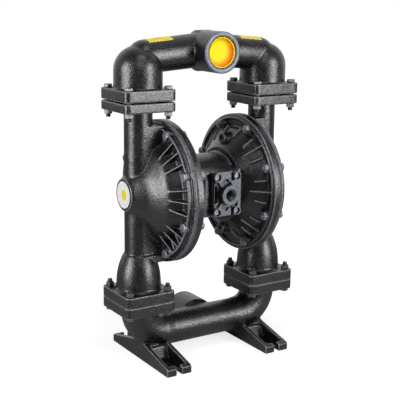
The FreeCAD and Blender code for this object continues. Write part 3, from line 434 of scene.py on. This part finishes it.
# %% [markdown]
# The yellow plug is thin polyethylene. Towards its wall and the curve into it the colour is
# painted deeper, to orange: painted shade and painted bounce light inside the cup. The distance
# from a point beside the cup's middle drives that change, so the orange lies more on one side,
# and the rim stays yellow.

# %% Yellow plug
PLUG_FLAT = 25 * MM
PLUG_WALL = 45 * MM
PLUG_SHADE_OFFSET = mm(6, 0, -4)    # from the middle of the painted shade to the cup's middle
PLUG_RIM_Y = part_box("port_plug")[0][1] + 0.4 * MM
PLUG_SKIN_MM = 5


def polyethylene():
    material, tree, place = new_material("yellow polyethylene")
    shift = (PLUG_SHADE_OFFSET.x - PORT_CENTRE.x, 0, PLUG_SHADE_OFFSET.z - PORT_CENTRE.z)
    centred = add_node(tree, "ShaderNodeMapping", {"Vector": place, "Scale": (1, 0, 1),
                                                   "Location": shift})
    reach = add_node(tree, "ShaderNodeVectorMath", {0: centred}, operation="LENGTH")
    shade_towards_wall = add_node(tree, "ShaderNodeMapRange", {0: reach.outputs["Value"],
                                                  1: PLUG_FLAT, 2: PLUG_WALL})
    depth = add_node(tree, "ShaderNodeSeparateXYZ", {"Vector": place}).outputs[1]
    inside = add_node(tree, "ShaderNodeMapRange", {0: depth, 1: PLUG_RIM_Y,
                                                   2: PLUG_RIM_Y + 1 * MM})
    deep = add_node(tree, "ShaderNodeMath", {0: shade_towards_wall, 1: inside}, operation="MULTIPLY")
    grain = add_node(tree, "ShaderNodeTexNoise", {"Vector": place, "Detail": 2.0,
                                                  "Scale": per_metre(PLUG_SKIN_MM)})
    tone = add_node(tree, "ShaderNodeMath", {0: grain, 1: 0.12, 2: deep},
                    operation="MULTIPLY_ADD")
    # Yellow where lit, deepening to painted orange shade towards the wall.
    colour = add_node(tree, "ShaderNodeValToRGB", {0: tone},
                      stops=[(0.06, "#fdea00"), (0.5, "#f8b400"), (0.95, "#ee7400")])
    bump = add_node(tree, "ShaderNodeBump", {"Height": grain, "Distance": 0.08 * MM})
    skin = add_node(tree, "ShaderNodeBsdfPrincipled",
                    {"Base Color": colour, "Roughness": 0.62, "IOR": PLASTIC_IOR,
                     "Specular IOR Level": 0.3, "Normal": bump})
    add_node(tree, "ShaderNodeOutputMaterial", {"Surface": skin})
    return material


yellow_plug = polyethylene()
print(yellow_plug.name)

# %% [markdown]
# Labels are printed film. Each has one plain mark: an arrow along the pipe that points away from
# the port, and a round spot on the dome. A mark is a short table of sums on the coordinates x,
# y and z. Each line names its result, and the last one is 1 inside the mark and 0 outside it.

# %% Label film
FILM_GRAIN_MM = 3
ARROW_MIDDLE = 148 * MM     # along the pipe, from the middle of the pump
ARROW_HALF = 18 * MM
ARROW_HEAD = 13 * MM
ARROW_STEM = 3.2 * MM
ARROW = (("side", "ABSOLUTE", "x", 0), ("along", "SUBTRACT", "side", ARROW_MIDDLE),
         ("across", "ABSOLUTE", "y", 0), ("thin", "LESS_THAN", "across", ARROW_STEM),
         ("reach", "ABSOLUTE", "along", 0), ("short", "LESS_THAN", "reach", ARROW_HALF),
         ("stem", "MULTIPLY", "thin", "short"), ("tip", "SUBTRACT", ARROW_HALF, "along"),
         ("slope", "MULTIPLY", "tip", 0.8), ("narrow", "LESS_THAN", "across", "slope"),
         ("front", "LESS_THAN", "tip", ARROW_HEAD), ("head", "MULTIPLY", "narrow", "front"),
         ("mark", "MAXIMUM", "stem", "head"))
SPOT_R = 15 * MM
SPOT_Y = -3 * MM
SPOT = (("right", "SUBTRACT", "y", SPOT_Y), ("up", "SUBTRACT", "z", ROD_Z),
        ("right2", "MULTIPLY", "right", "right"), ("up2", "MULTIPLY", "up", "up"),
        ("reach2", "ADD", "right2", "up2"), ("mark", "LESS_THAN", "reach2", SPOT_R ** 2))


def label_film(name, grounds, mark_code, steps):
    """Printed film: a plain ground with one generic mark, under a thin clear coat."""
    material, tree, place = new_material(name)
    known = dict(zip("xyz", add_node(tree, "ShaderNodeSeparateXYZ", {"Vector": place}).outputs))
    for result, operation, a, b in steps:
        known[result] = add_node(tree, "ShaderNodeMath",
                                 {0: known.get(a, a), 1: known.get(b, b)}, operation=operation)
    grain = add_node(tree, "ShaderNodeTexNoise", {"Vector": place,
                                                  "Scale": per_metre(FILM_GRAIN_MM)})
    paper = add_node(tree, "ShaderNodeValToRGB", {0: grain},
                     stops=[(0.3, grounds[0]), (0.7, grounds[1])])
    colour = add_node(tree, "ShaderNodeMix", {0: known["mark"], 6: paper, 7: linear(mark_code)},
                      data_type="RGBA").outputs[2]
    skin = add_node(tree, "ShaderNodeBsdfPrincipled",
                    {"Base Color": colour, "Roughness": 0.32, "IOR": PLASTIC_IOR})
    add_node(tree, "ShaderNodeOutputMaterial", {"Surface": skin})
    return material


pipe_film = label_film("yellow label film", ("#f3d908", "#fbe51c"), "#2a2718", ARROW)
dome_film = label_film("white label film", ("#dcdcda", "#e8e8e6"), "#e9cf2c", SPOT)
print(len(bpy.data.materials), "materials")

# %% [markdown]
# Which part wears which finish. Small turned and pressed parts keep the frame's own shape. Two
# modifiers make their edges real: Weld closes the loose triangles, and Bevel breaks each sharp
# edge by a fraction of a millimetre, so that it catches a thin line of light.

# %% Dress the small parts
WELD = 0.01 * MM
EDGE = 0.5 * MM
FINISHES = {
    "flange_bolts flange_nuts hub_screws rod_bolt": blackened,
    "pilot_rod diaphragm_rod valve_spool": ground,
    "inner_plate outer_plate": cast_plate,
    "diaphragm ball seat_rings rod_seal gasket": nitrile,
    "seat": turned_seat,
    "valve_sleeve rod_bushing": bronze,
    "sleeve_plug": dark_plastic,
    "exhaust_muffler": sintered,
    "port_plug": yellow_plug,
    "cover_screws rim_bolts rim_nuts": bright_screw,
    "pipe_label": pipe_film,
    "dome_label": dome_film,
}


def smooth(thing):
    for face in thing.data.polygons:
        face.use_smooth = True


def bevel_edges(thing, width, segments, angle):
    """Breaks the edges that are sharper than this angle in degrees."""
    bevel = thing.modifiers.new("edges", "BEVEL")
    bevel.width = width
    bevel.segments = segments
    bevel.limit_method = "ANGLE"
    bevel.angle_limit = math.radians(angle)


def break_edges(thing, width=EDGE):
    thing.modifiers.new("weld", "WELD").merge_threshold = WELD
    bevel_edges(thing, width, 2, 35)
    smooth(thing)


dressed = 0
for ends, material in FINISHES.items():
    for name, thing in nodes.items():
        if any(name.endswith(end) for end in ends.split()):
            wear(thing, material)
            if not name.endswith("label"):
                break_edges(thing)
            dressed += 1
print(dressed, "small parts dressed")

# %% [markdown]
# Bolts and nuts. Each is a stack of rings from the tip of its thread to the top of its head:
# round where it was turned, pulled out to six flats where it was forged. Rings of 24 corners
# serve both, because a hexagon's corners and flats fall on them. Bridging the rings gives one
# closed skin, and a fine zigzag at the free end is the thread.

# %% Rings and stacks
CORNERS = 24


def ring(maker, radius, height, across=0.0):
    """One ring of corners. With a width across flats it is a hexagon, no wider than radius."""
    made = bmesh.ops.create_circle(maker, segments=CORNERS, radius=1.0,
                                   matrix=Matrix.Translation((0, 0, height)))["verts"]
    for corner in made:
        reach = radius
        if across:
            turn = math.degrees(math.atan2(corner.co.y, corner.co.x)) % 60 - 30
            reach = min(radius, across / 2 / math.cos(math.radians(turn)))
        corner.co.x *= reach
        corner.co.y *= reach
    return list({edge for corner in made for edge in corner.link_edges})


def stack(rings, hollow=False):
    """Closed skin through rings of (radius, height, across flats)."""
    maker = bmesh.new()
    loops = [ring(maker, *size) for size in rings]
    for low, high in zip(loops, loops[1:]):
        bmesh.ops.bridge_loops(maker, edges=low + high)
    if hollow:
        bmesh.ops.bridge_loops(maker, edges=loops[-1] + loops[0])
    else:
        bmesh.ops.holes_fill(maker, edges=loops[0] + loops[-1], sides=CORNERS)
    bmesh.ops.recalc_face_normals(maker, faces=maker.faces)
    mesh = bpy.data.meshes.new("fastener")
    maker.to_mesh(mesh)
    maker.free()
    return mesh


print("hexagon corners at", 360 // CORNERS, "degree steps")

# %% [markdown]
# A bolt's head has a round bearing face under it, chamfered corners, and a shallow crown. A nut
# has chamfers on both sides and a bore that widens at its ends.

# %% Bolt and nut
STUD_PITCH = 2.0 * MM
STUD_DEPTH = 0.9 * MM
STUD_RINGS = 9
TIP = 0.8 * MM


def bolt(radius, length, across, head):
    """Hexagon bolt along Z with its head's seat at height 0."""
    rings = [(radius - STUD_DEPTH - 0.6 * MM, -length, 0)]
    for i in range(STUD_RINGS):
        low = TIP - length + i * STUD_PITCH
        rings += [(radius, low, 0), (radius - STUD_DEPTH, low + STUD_PITCH / 2, 0)]
    flat = across / 2
    corner = across / math.sqrt(3)
    return stack(rings + [(radius, TIP - length + STUD_RINGS * STUD_PITCH, 0), (radius, 0, 0),
                          (flat * 0.94, 0, 0), (flat * 0.94, 0.5 * MM, 0),
                          (flat, 0.55 * MM, 0), (corner, 1.5 * MM, across),
                          (corner, head - 1.6 * MM, across),
                          (flat * 1.02, head - 0.6 * MM, 0), (flat * 0.90, head, 0)])


def nut(radius, across, height):
    """Hexagon nut along Z, from height 0 up, with a bore."""
    flat = across / 2
    corner = across / math.sqrt(3)
    return stack([(radius, 0.6 * MM, 0), (radius + 0.8 * MM, 0, 0), (flat * 0.94, 0, 0),
                  (corner, 1.3 * MM, across), (corner, height - 1.5 * MM, across),
                  (flat * 0.92, height, 0), (radius + 0.9 * MM, height, 0),
                  (radius, height - 0.8 * MM, 0)], hollow=True)


print("threads of", STUD_RINGS, "turns")

# %% [markdown]
# Equal fasteners are one piece, as in the frame: the shape is copied to each seat and turned so
# that its head points away from it. The piece rides on the pump's body and stands for the
# frame's own bolts or nuts.

# %% Groups of fasteners
BOLT_EDGE = 0.25 * MM
NUT_PLAY = 0.02 * MM


def link_piece(piece, body, slot, *replaced):
    """Puts a piece in the scene, on a body, in place of the frame's own nodes."""
    scene.collection.objects.link(piece)
    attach(piece, body)
    if replaced:
        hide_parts(*replaced)


def group(name, shape, places, material):
    """One piece of many equal fasteners. Each place is (seat, direction of the head)."""
    maker = bmesh.new()
    for seat, way in places:
        turn = way.to_track_quat("Z", "Y").to_matrix().to_4x4()
        before = set(maker.verts)
        maker.from_mesh(shape)
        new = [v for v in maker.verts if v not in before]
        bmesh.ops.transform(maker, matrix=Matrix.Translation(seat) @ turn, verts=new)
    piece = as_object(name + "_forged", maker)
    wear(piece, material)
    bevel_edges(piece, BOLT_EDGE, 1, 38)
    link_piece(piece, "pump", "zinc_steel", name)
    print(piece.name, len(places), "fasteners", len(piece.data.polygons), "faces")


# %% [markdown]
# The flanges are clamped by four bolts each. The heads are on the manifolds' side: on top at the
# discharge, underneath at the suction.

# %% Flange fasteners
UP = Vector((0, 0, 1))
FLANGE_ACROSS = 22 * MM
FLANGE_HEAD = 9 * MM
FLANGE_NUT = 12 * MM
FLANGE_PITCH = 60.5 * MM
FLANGE_SHANK = 7 * MM

flange_spots = [Vector((side * COLUMN_X + i * FLANGE_PITCH, j * FLANGE_PITCH, 0))
                for _, side in SIDES for i in (-1, 1) for j in (-1, 1)]
for level, sense in (("discharge", 1), ("suction", -1)):
    low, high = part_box(level + "_flange_bolts")
    nut_low, nut_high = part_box(level + "_flange_nuts")
    seat = (high[2] if sense > 0 else low[2]) - sense * FLANGE_HEAD
    length = high[2] - low[2] - FLANGE_HEAD
    nut_seat = nut_high[2] if sense > 0 else nut_low[2]
    group(level + "_flange_bolts", bolt(FLANGE_SHANK, length, FLANGE_ACROSS, FLANGE_HEAD),
          [(at + UP * seat, UP * sense) for at in flange_spots], blackened)
    group(level + "_flange_nuts", nut(FLANGE_SHANK + NUT_PLAY, FLANGE_ACROSS, FLANGE_NUT),
          [(at + UP * nut_seat, UP * -sense) for at in flange_spots], blackened)

# %% [markdown]
# Eight bolts hold each pair of chambers on a circle round the rod, half a step from the top.

# %% Rim fasteners
RIM_ACROSS = 22 * MM
RIM_HEAD = 10 * MM
RIM_NUT = 12 * MM
RIM_SHANK = 6 * MM
RIM_CIRCLE = 180 * MM
RIM_COUNT = 8

rim_turns = [math.tau * (i + 0.5) / RIM_COUNT for i in range(RIM_COUNT)]
rim_spots = [Vector((0, RIM_CIRCLE * math.sin(turn), ROD_Z + RIM_CIRCLE * math.cos(turn)))
             for turn in rim_turns]
for side_name, side in SIDES:
    out = Vector((side, 0, 0))
    low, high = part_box(side_name + "_rim_bolts")
    far, near = max(abs(low[0]), abs(high[0])), min(abs(low[0]), abs(high[0]))
    low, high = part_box(side_name + "_rim_nuts")
    nut_seat = max(abs(low[0]), abs(high[0]))
    group(side_name + "_rim_bolts",
          bolt(RIM_SHANK, far - near - RIM_HEAD, RIM_ACROSS, RIM_HEAD),
          [(at + out * (far - RIM_HEAD), out) for at in rim_spots], bright_screw)
    group(side_name + "_rim_nuts", nut(RIM_SHANK + NUT_PLAY, RIM_ACROSS, RIM_NUT),
          [(at + out * nut_seat, -out) for at in rim_spots], bright_screw)

# %% [markdown]
# A casting has no sharp edge: the sand rounds every corner, and the metal fills every inside
# corner with a fillet. Filleting each edge by hand would take hundreds of choices, so the copy is
# rebuilt from small cells instead, and relaxed: that rounds edges and fills corners alike, as a
# mould does. Machined places keep their flatness, because relaxing moves a flat surface nowhere.

# %% Soften the castings
CELL = 2.1 * MM
COVER_CELL = CELL * 0.5
RELAX = 4
MOST_TRIANGLES = 180000
CASTINGS = {"left_outer_cap": "black_casting", "right_outer_cap": "black_casting",
            "left_inner_cap": "black_casting", "right_inner_cap": "black_casting",
            "centre_body": "black_casting", "discharge_manifold": "black_casting",
            "suction_manifold": "black_casting", "front_cover": "bare_casting"}


def merged_copy(name):
    """The frame's mesh of a part, with its loose triangles joined."""
    maker = bmesh.new()
    maker.from_mesh(nodes[name].data)
    bmesh.ops.remove_doubles(maker, verts=maker.verts, dist=WELD)
    return maker


def settle(piece):
    """Applies the modifiers of a piece."""
    graph = bpy.context.evaluated_depsgraph_get()
    mesh = bpy.data.meshes.new_from_object(piece.evaluated_get(graph))
    piece.modifiers.clear()
    piece.data = mesh


def cast_copy(name, cell):
    """Softened copy of a casting, under the casting's name with _cast after it."""
    piece = as_object(name + "_cast", merged_copy(name))
    link_piece(piece, "pump", CASTINGS[name], name)
    cells = piece.modifiers.new("cells", "REMESH")
    cells.mode = "VOXEL"
    cells.voxel_size = cell
    soften = piece.modifiers.new("soften", "SMOOTH")
    soften.factor = 0.5
    soften.iterations = RELAX
    settle(piece)
    triangles = 2 * len(piece.data.polygons)
    if triangles > MOST_TRIANGLES:
        thin = piece.modifiers.new("thin", "DECIMATE")
        thin.ratio = MOST_TRIANGLES / triangles
        settle(piece)
    smooth(piece)
    wear(piece, casting)
    print(name, len(piece.data.polygons), "faces")
    return piece


castings = {name: cast_copy(name, COVER_CELL if name == "front_cover" else CELL)
            for name in CASTINGS}

# %% [markdown]
# The air chambers' fins are thin, so relaxing melts them. Each gets a crisp crest of its own:
# a tapered blade that stands in the softened fin and reaches two millimetres above it. Its side
# is drawn as one face and extruded across. They stand in threes between the rim bolts, the
# middle one longer. None stands at the very top and bottom, where a round boss is.

# %% Fin crests of the air chambers
FIN_COUNT = 32
FIN_START = mm(64, 0, 115)
FIN_RUN = mm(56, 0, 63)
FIN_OUT = mm(-1.5, 0, 1.6)
FIN_ROOT = mm(9, 0, -9)
FIN_HALF = 1.9 * MM
CREST_HALF = 1.2 * MM
CREST_EDGE = 0.7 * MM
LONG_FIN = (0.26, 0.99)
SHORT_FIN = (0.45, 0.84)


def fin_blade(maker, start, finish, matrix):
    """Blade between two shares of the fin's run, wider at its root than at its crest."""
    low, high = FIN_START + FIN_RUN * start, FIN_START + FIN_RUN * finish
    outline = ((low + FIN_ROOT * 0.4, FIN_HALF), (low + FIN_OUT * 0.5, CREST_HALF),
               (low + FIN_OUT + FIN_RUN * 0.05, CREST_HALF), (high + FIN_OUT, CREST_HALF),
               (high + FIN_RUN * 0.04, CREST_HALF), (high + FIN_ROOT, FIN_HALF))
    near = [maker.verts.new(at - Vector((0, half, 0))) for at, half in outline]
    made = bmesh.ops.extrude_face_region(maker, geom=[maker.faces.new(near)])["geom"]
    far = [part for part in made if isinstance(part, bmesh.types.BMVert)]
    bmesh.ops.scale(maker, verts=far, vec=(1, -1, 1))
    bmesh.ops.transform(maker, matrix=matrix, verts=near + far)


def fin_crests(side_name, side):
    """All the blades of one air chamber."""
    maker = bmesh.new()
    chamber = Matrix.Translation((0, 0, ROD_Z)) @ Matrix.Diagonal((side, 1, 1, 1))
    for i in range(FIN_COUNT):
        if i % 4 == 2 or i % 16 == 0:
            continue
        start, finish = LONG_FIN if i % 4 == 0 else SHORT_FIN
        turn = Matrix.Rotation(math.tau * i / FIN_COUNT, 4, "X")
        fin_blade(maker, start, finish, chamber @ turn)
    bmesh.ops.recalc_face_normals(maker, faces=maker.faces)
    piece = as_object(side_name + "_fin_crests", maker)
    # The blades wear the lighter enamel, a painted highlight along the crests.
    wear(piece, crest)
    break_edges(piece, CREST_EDGE)
    link_piece(piece, "pump", "black_casting")
    print(piece.name, len(piece.data.polygons), "faces")


for side_name, side in SIDES:
    fin_crests(side_name, side)

# %% [markdown]
# Machined and raised faces. The discharge port's ring was turned after casting, so bare
# aluminium shows there. The front cover's raised bridges, well rims and inlet boss stand proud
# and carry a thinner, lighter coat, and on top of it a painted highlight: only the faces that
# look forwards, towards the lamps, are painted lighter.

# %% Machined ring, and raised faces with a painted highlight
PORT_FACE_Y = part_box("discharge_manifold")[0][1]
COVER_FRONT_Y = -139 * MM
FACE_DEPTH = 1.0 * MM
FACING = 0.85


def second_finish(piece, material, front_y):
    """Another material on the faces that look forwards, from this plane on."""
    piece.data.materials.append(material)
    count = 0
    for face in piece.data.polygons:
        if face.center.y < front_y + FACE_DEPTH and -face.normal.y > FACING:
            face.material_index = 1
            count += 1
    print(piece.name, count, "faces of", material.name)


second_finish(castings["discharge_manifold"], machined, PORT_FACE_Y)
second_finish(castings["front_cover"], raised_face_coat_and_sheen, COVER_FRONT_Y)

# %% [markdown]
# The air inlet's thread. A real thread is one groove that winds inwards. At this size nobody can
# tell it from plain rings, and rings are one zigzag line, spun once round the hole.

# %% Thread of the air inlet
FORWARDS = Vector((0, 1, 0))
INLET_THREAD_R = 15.2 * MM
INLET_WALL_R = 15.8 * MM
INLET_FACE = Vector((0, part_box("front_cover")[0][1], ROD_Z))
INLET_TURNS = 9
THREAD_START = 1.6 * MM
THREAD_PITCH = 2.3 * MM
THREAD_DEPTH = 1.2 * MM


def spun(name, points, centre, steps=64):
    """Spins an open line of points a full turn and closes the seam."""
    maker = bmesh.new()
    corners = [maker.verts.new(p) for p in points]
    edges = [maker.edges.new(pair) for pair in zip(corners, corners[1:])]
    bmesh.ops.spin(maker, geom=corners + edges, cent=centre, axis=FORWARDS,
                   angle=math.tau, steps=steps, use_merge=True)
    bmesh.ops.remove_doubles(maker, verts=maker.verts, dist=0.001 * MM)
    bmesh.ops.recalc_face_normals(maker, faces=maker.faces)
    return as_object(name, maker)


thread_line = []
for turn in range(INLET_TURNS):
    deep = THREAD_START + turn * THREAD_PITCH
    thread_line += [(INLET_THREAD_R, deep),
                    (INLET_THREAD_R - THREAD_DEPTH, deep + THREAD_PITCH / 2)]
thread_end = THREAD_START + INLET_TURNS * THREAD_PITCH
thread_line += [(INLET_THREAD_R, thread_end), (INLET_WALL_R, thread_end),
                (INLET_WALL_R, THREAD_START), thread_line[0]]
inlet_thread = spun("inlet_thread", [INLET_FACE + Vector((reach, deep, 0))
                                     for reach, deep in thread_line], INLET_FACE)
wear(inlet_thread, blackened)
link_piece(inlet_thread, "pump", "bare_casting")
print("inlet thread", len(inlet_thread.data.polygons), "faces")

# %% [markdown]
# The plug is a moulded cup whose floor curves up into its wall. Its section is one line of
# distances from the axis and depths from the rim, spun round the port's axis.

# %% Plug
PLUG_LINE = ((0, 10.2), (16, 10.6), (25, 10.0), (31, 8.6), (35.5, 6.2), (38.2, 3.0), (39.3, 0.7),
             (40.0, 0.0), (41.4, 0.0), (42.3, 0.9), (42.4, 26), (37.9, 26), (37.9, 14), (0, 14))
PLUG_RIM = Vector((PORT_CENTRE.x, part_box("port_plug")[0][1], PORT_CENTRE.z))

plug = spun("plug_cup", [PLUG_RIM + mm(reach, deep, 0) for reach, deep in PLUG_LINE],
            PLUG_RIM, 96)
smooth(plug)
wear(plug, yellow_plug)
link_piece(plug, "port_plug", "yellow_plastic", "port_plug")
print(plug.name, len(plug.data.polygons), "faces")

# %% [markdown]
# The pipe labels are soft film that hugs the casting, also where the pipe swells into the
# elbow. Each is a sheet of small squares that Shrinkwrap drops on the softened casting.

# %% Pipe labels
LABEL_NEAR, LABEL_FAR = 113 * MM, 187 * MM
LABEL_HALF = 26 * MM
LABEL_STEP = 2 * MM
FILM = 0.5 * MM


def pipe_label(side_name, side):
    """Sheet of film dropped on the top of the pipe."""
    run = LABEL_FAR - LABEL_NEAR
    maker = bmesh.new()
    bmesh.ops.create_grid(maker, x_segments=round(run / LABEL_STEP),
                          y_segments=round(2 * LABEL_HALF / LABEL_STEP), size=0.5)
    bmesh.ops.scale(maker, verts=maker.verts, vec=(run, 2 * LABEL_HALF, 1))
    bmesh.ops.translate(maker, verts=maker.verts,
                        vec=(side * (LABEL_NEAR + LABEL_FAR) / 2, 0, 1.0))
    piece = as_object(side_name + "_pipe_film", maker)
    wear(piece, pipe_film)
    link_piece(piece, "pump", "yellow_label", side_name + "_pipe_label")
    drop = piece.modifiers.new("drop", "SHRINKWRAP")
    drop.target = castings["discharge_manifold"]
    drop.wrap_method = "PROJECT"
    drop.use_project_z = True
    drop.use_positive_direction = False
    drop.use_negative_direction = True
    drop.offset = FILM
    piece.modifiers.new("film", "SOLIDIFY").thickness = FILM
    settle(piece)
    print(piece.name, len(piece.data.polygons), "faces")


for side_name, side in SIDES:
    pipe_label(side_name, side)

# %% [markdown]
# Each diaphragm is clamped at its rim by the chambers and at its middle by the plates on the rod,
# so only the ring between them bends as the rod slides. A blend between two bodies runs along
# one straight line, so the disc is cut into equal wedges, as a cake is, one piece each. The
# wedges are only cut here, and nothing makes them bend.

# %% Diaphragms cut into wedges
WEDGES = 12
WEDGE_STEP = math.tau / WEDGES
WEDGE_TURN = math.radians(2.3)  # keeps the cuts off the mesh's own corners


def cut(maker, point, normal):
    """Cuts away what lies beyond the plane and closes the cut."""
    made = bmesh.ops.bisect_plane(maker, geom=maker.verts[:] + maker.edges[:] + maker.faces[:],
                                  plane_co=point, plane_no=normal, clear_outer=True)
    rims = [part for part in made["geom_cut"] if isinstance(part, bmesh.types.BMEdge)]
    bmesh.ops.triangle_fill(maker, edges=rims, use_beauty=True)


def diaphragm_wedge(node, index):
    """One slice of the disc, cut from the frame's diaphragm."""
    centre = middle(node)
    maker = merged_copy(node)
    start = index * WEDGE_STEP + WEDGE_TURN
    for angle, way in ((start, -1), (start + WEDGE_STEP, 1)):
        cut(maker, centre, Vector((0, -math.sin(angle), math.cos(angle))) * way)
    bmesh.ops.recalc_face_normals(maker, faces=maker.faces)
    piece = as_object(f"{node}_wedge_{index + 1}", maker)
    wear(piece, nitrile)
    scene.collection.objects.link(piece)
    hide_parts(node)
    angle = start + WEDGE_STEP / 2
    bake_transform(piece)
    return len(piece.data.polygons)


for side_name, side in SIDES:
    faces = [diaphragm_wedge(side_name + "_diaphragm", index) for index in range(WEDGES)]
    print(side_name, "diaphragm", WEDGES, "wedges", sum(faces), "faces")
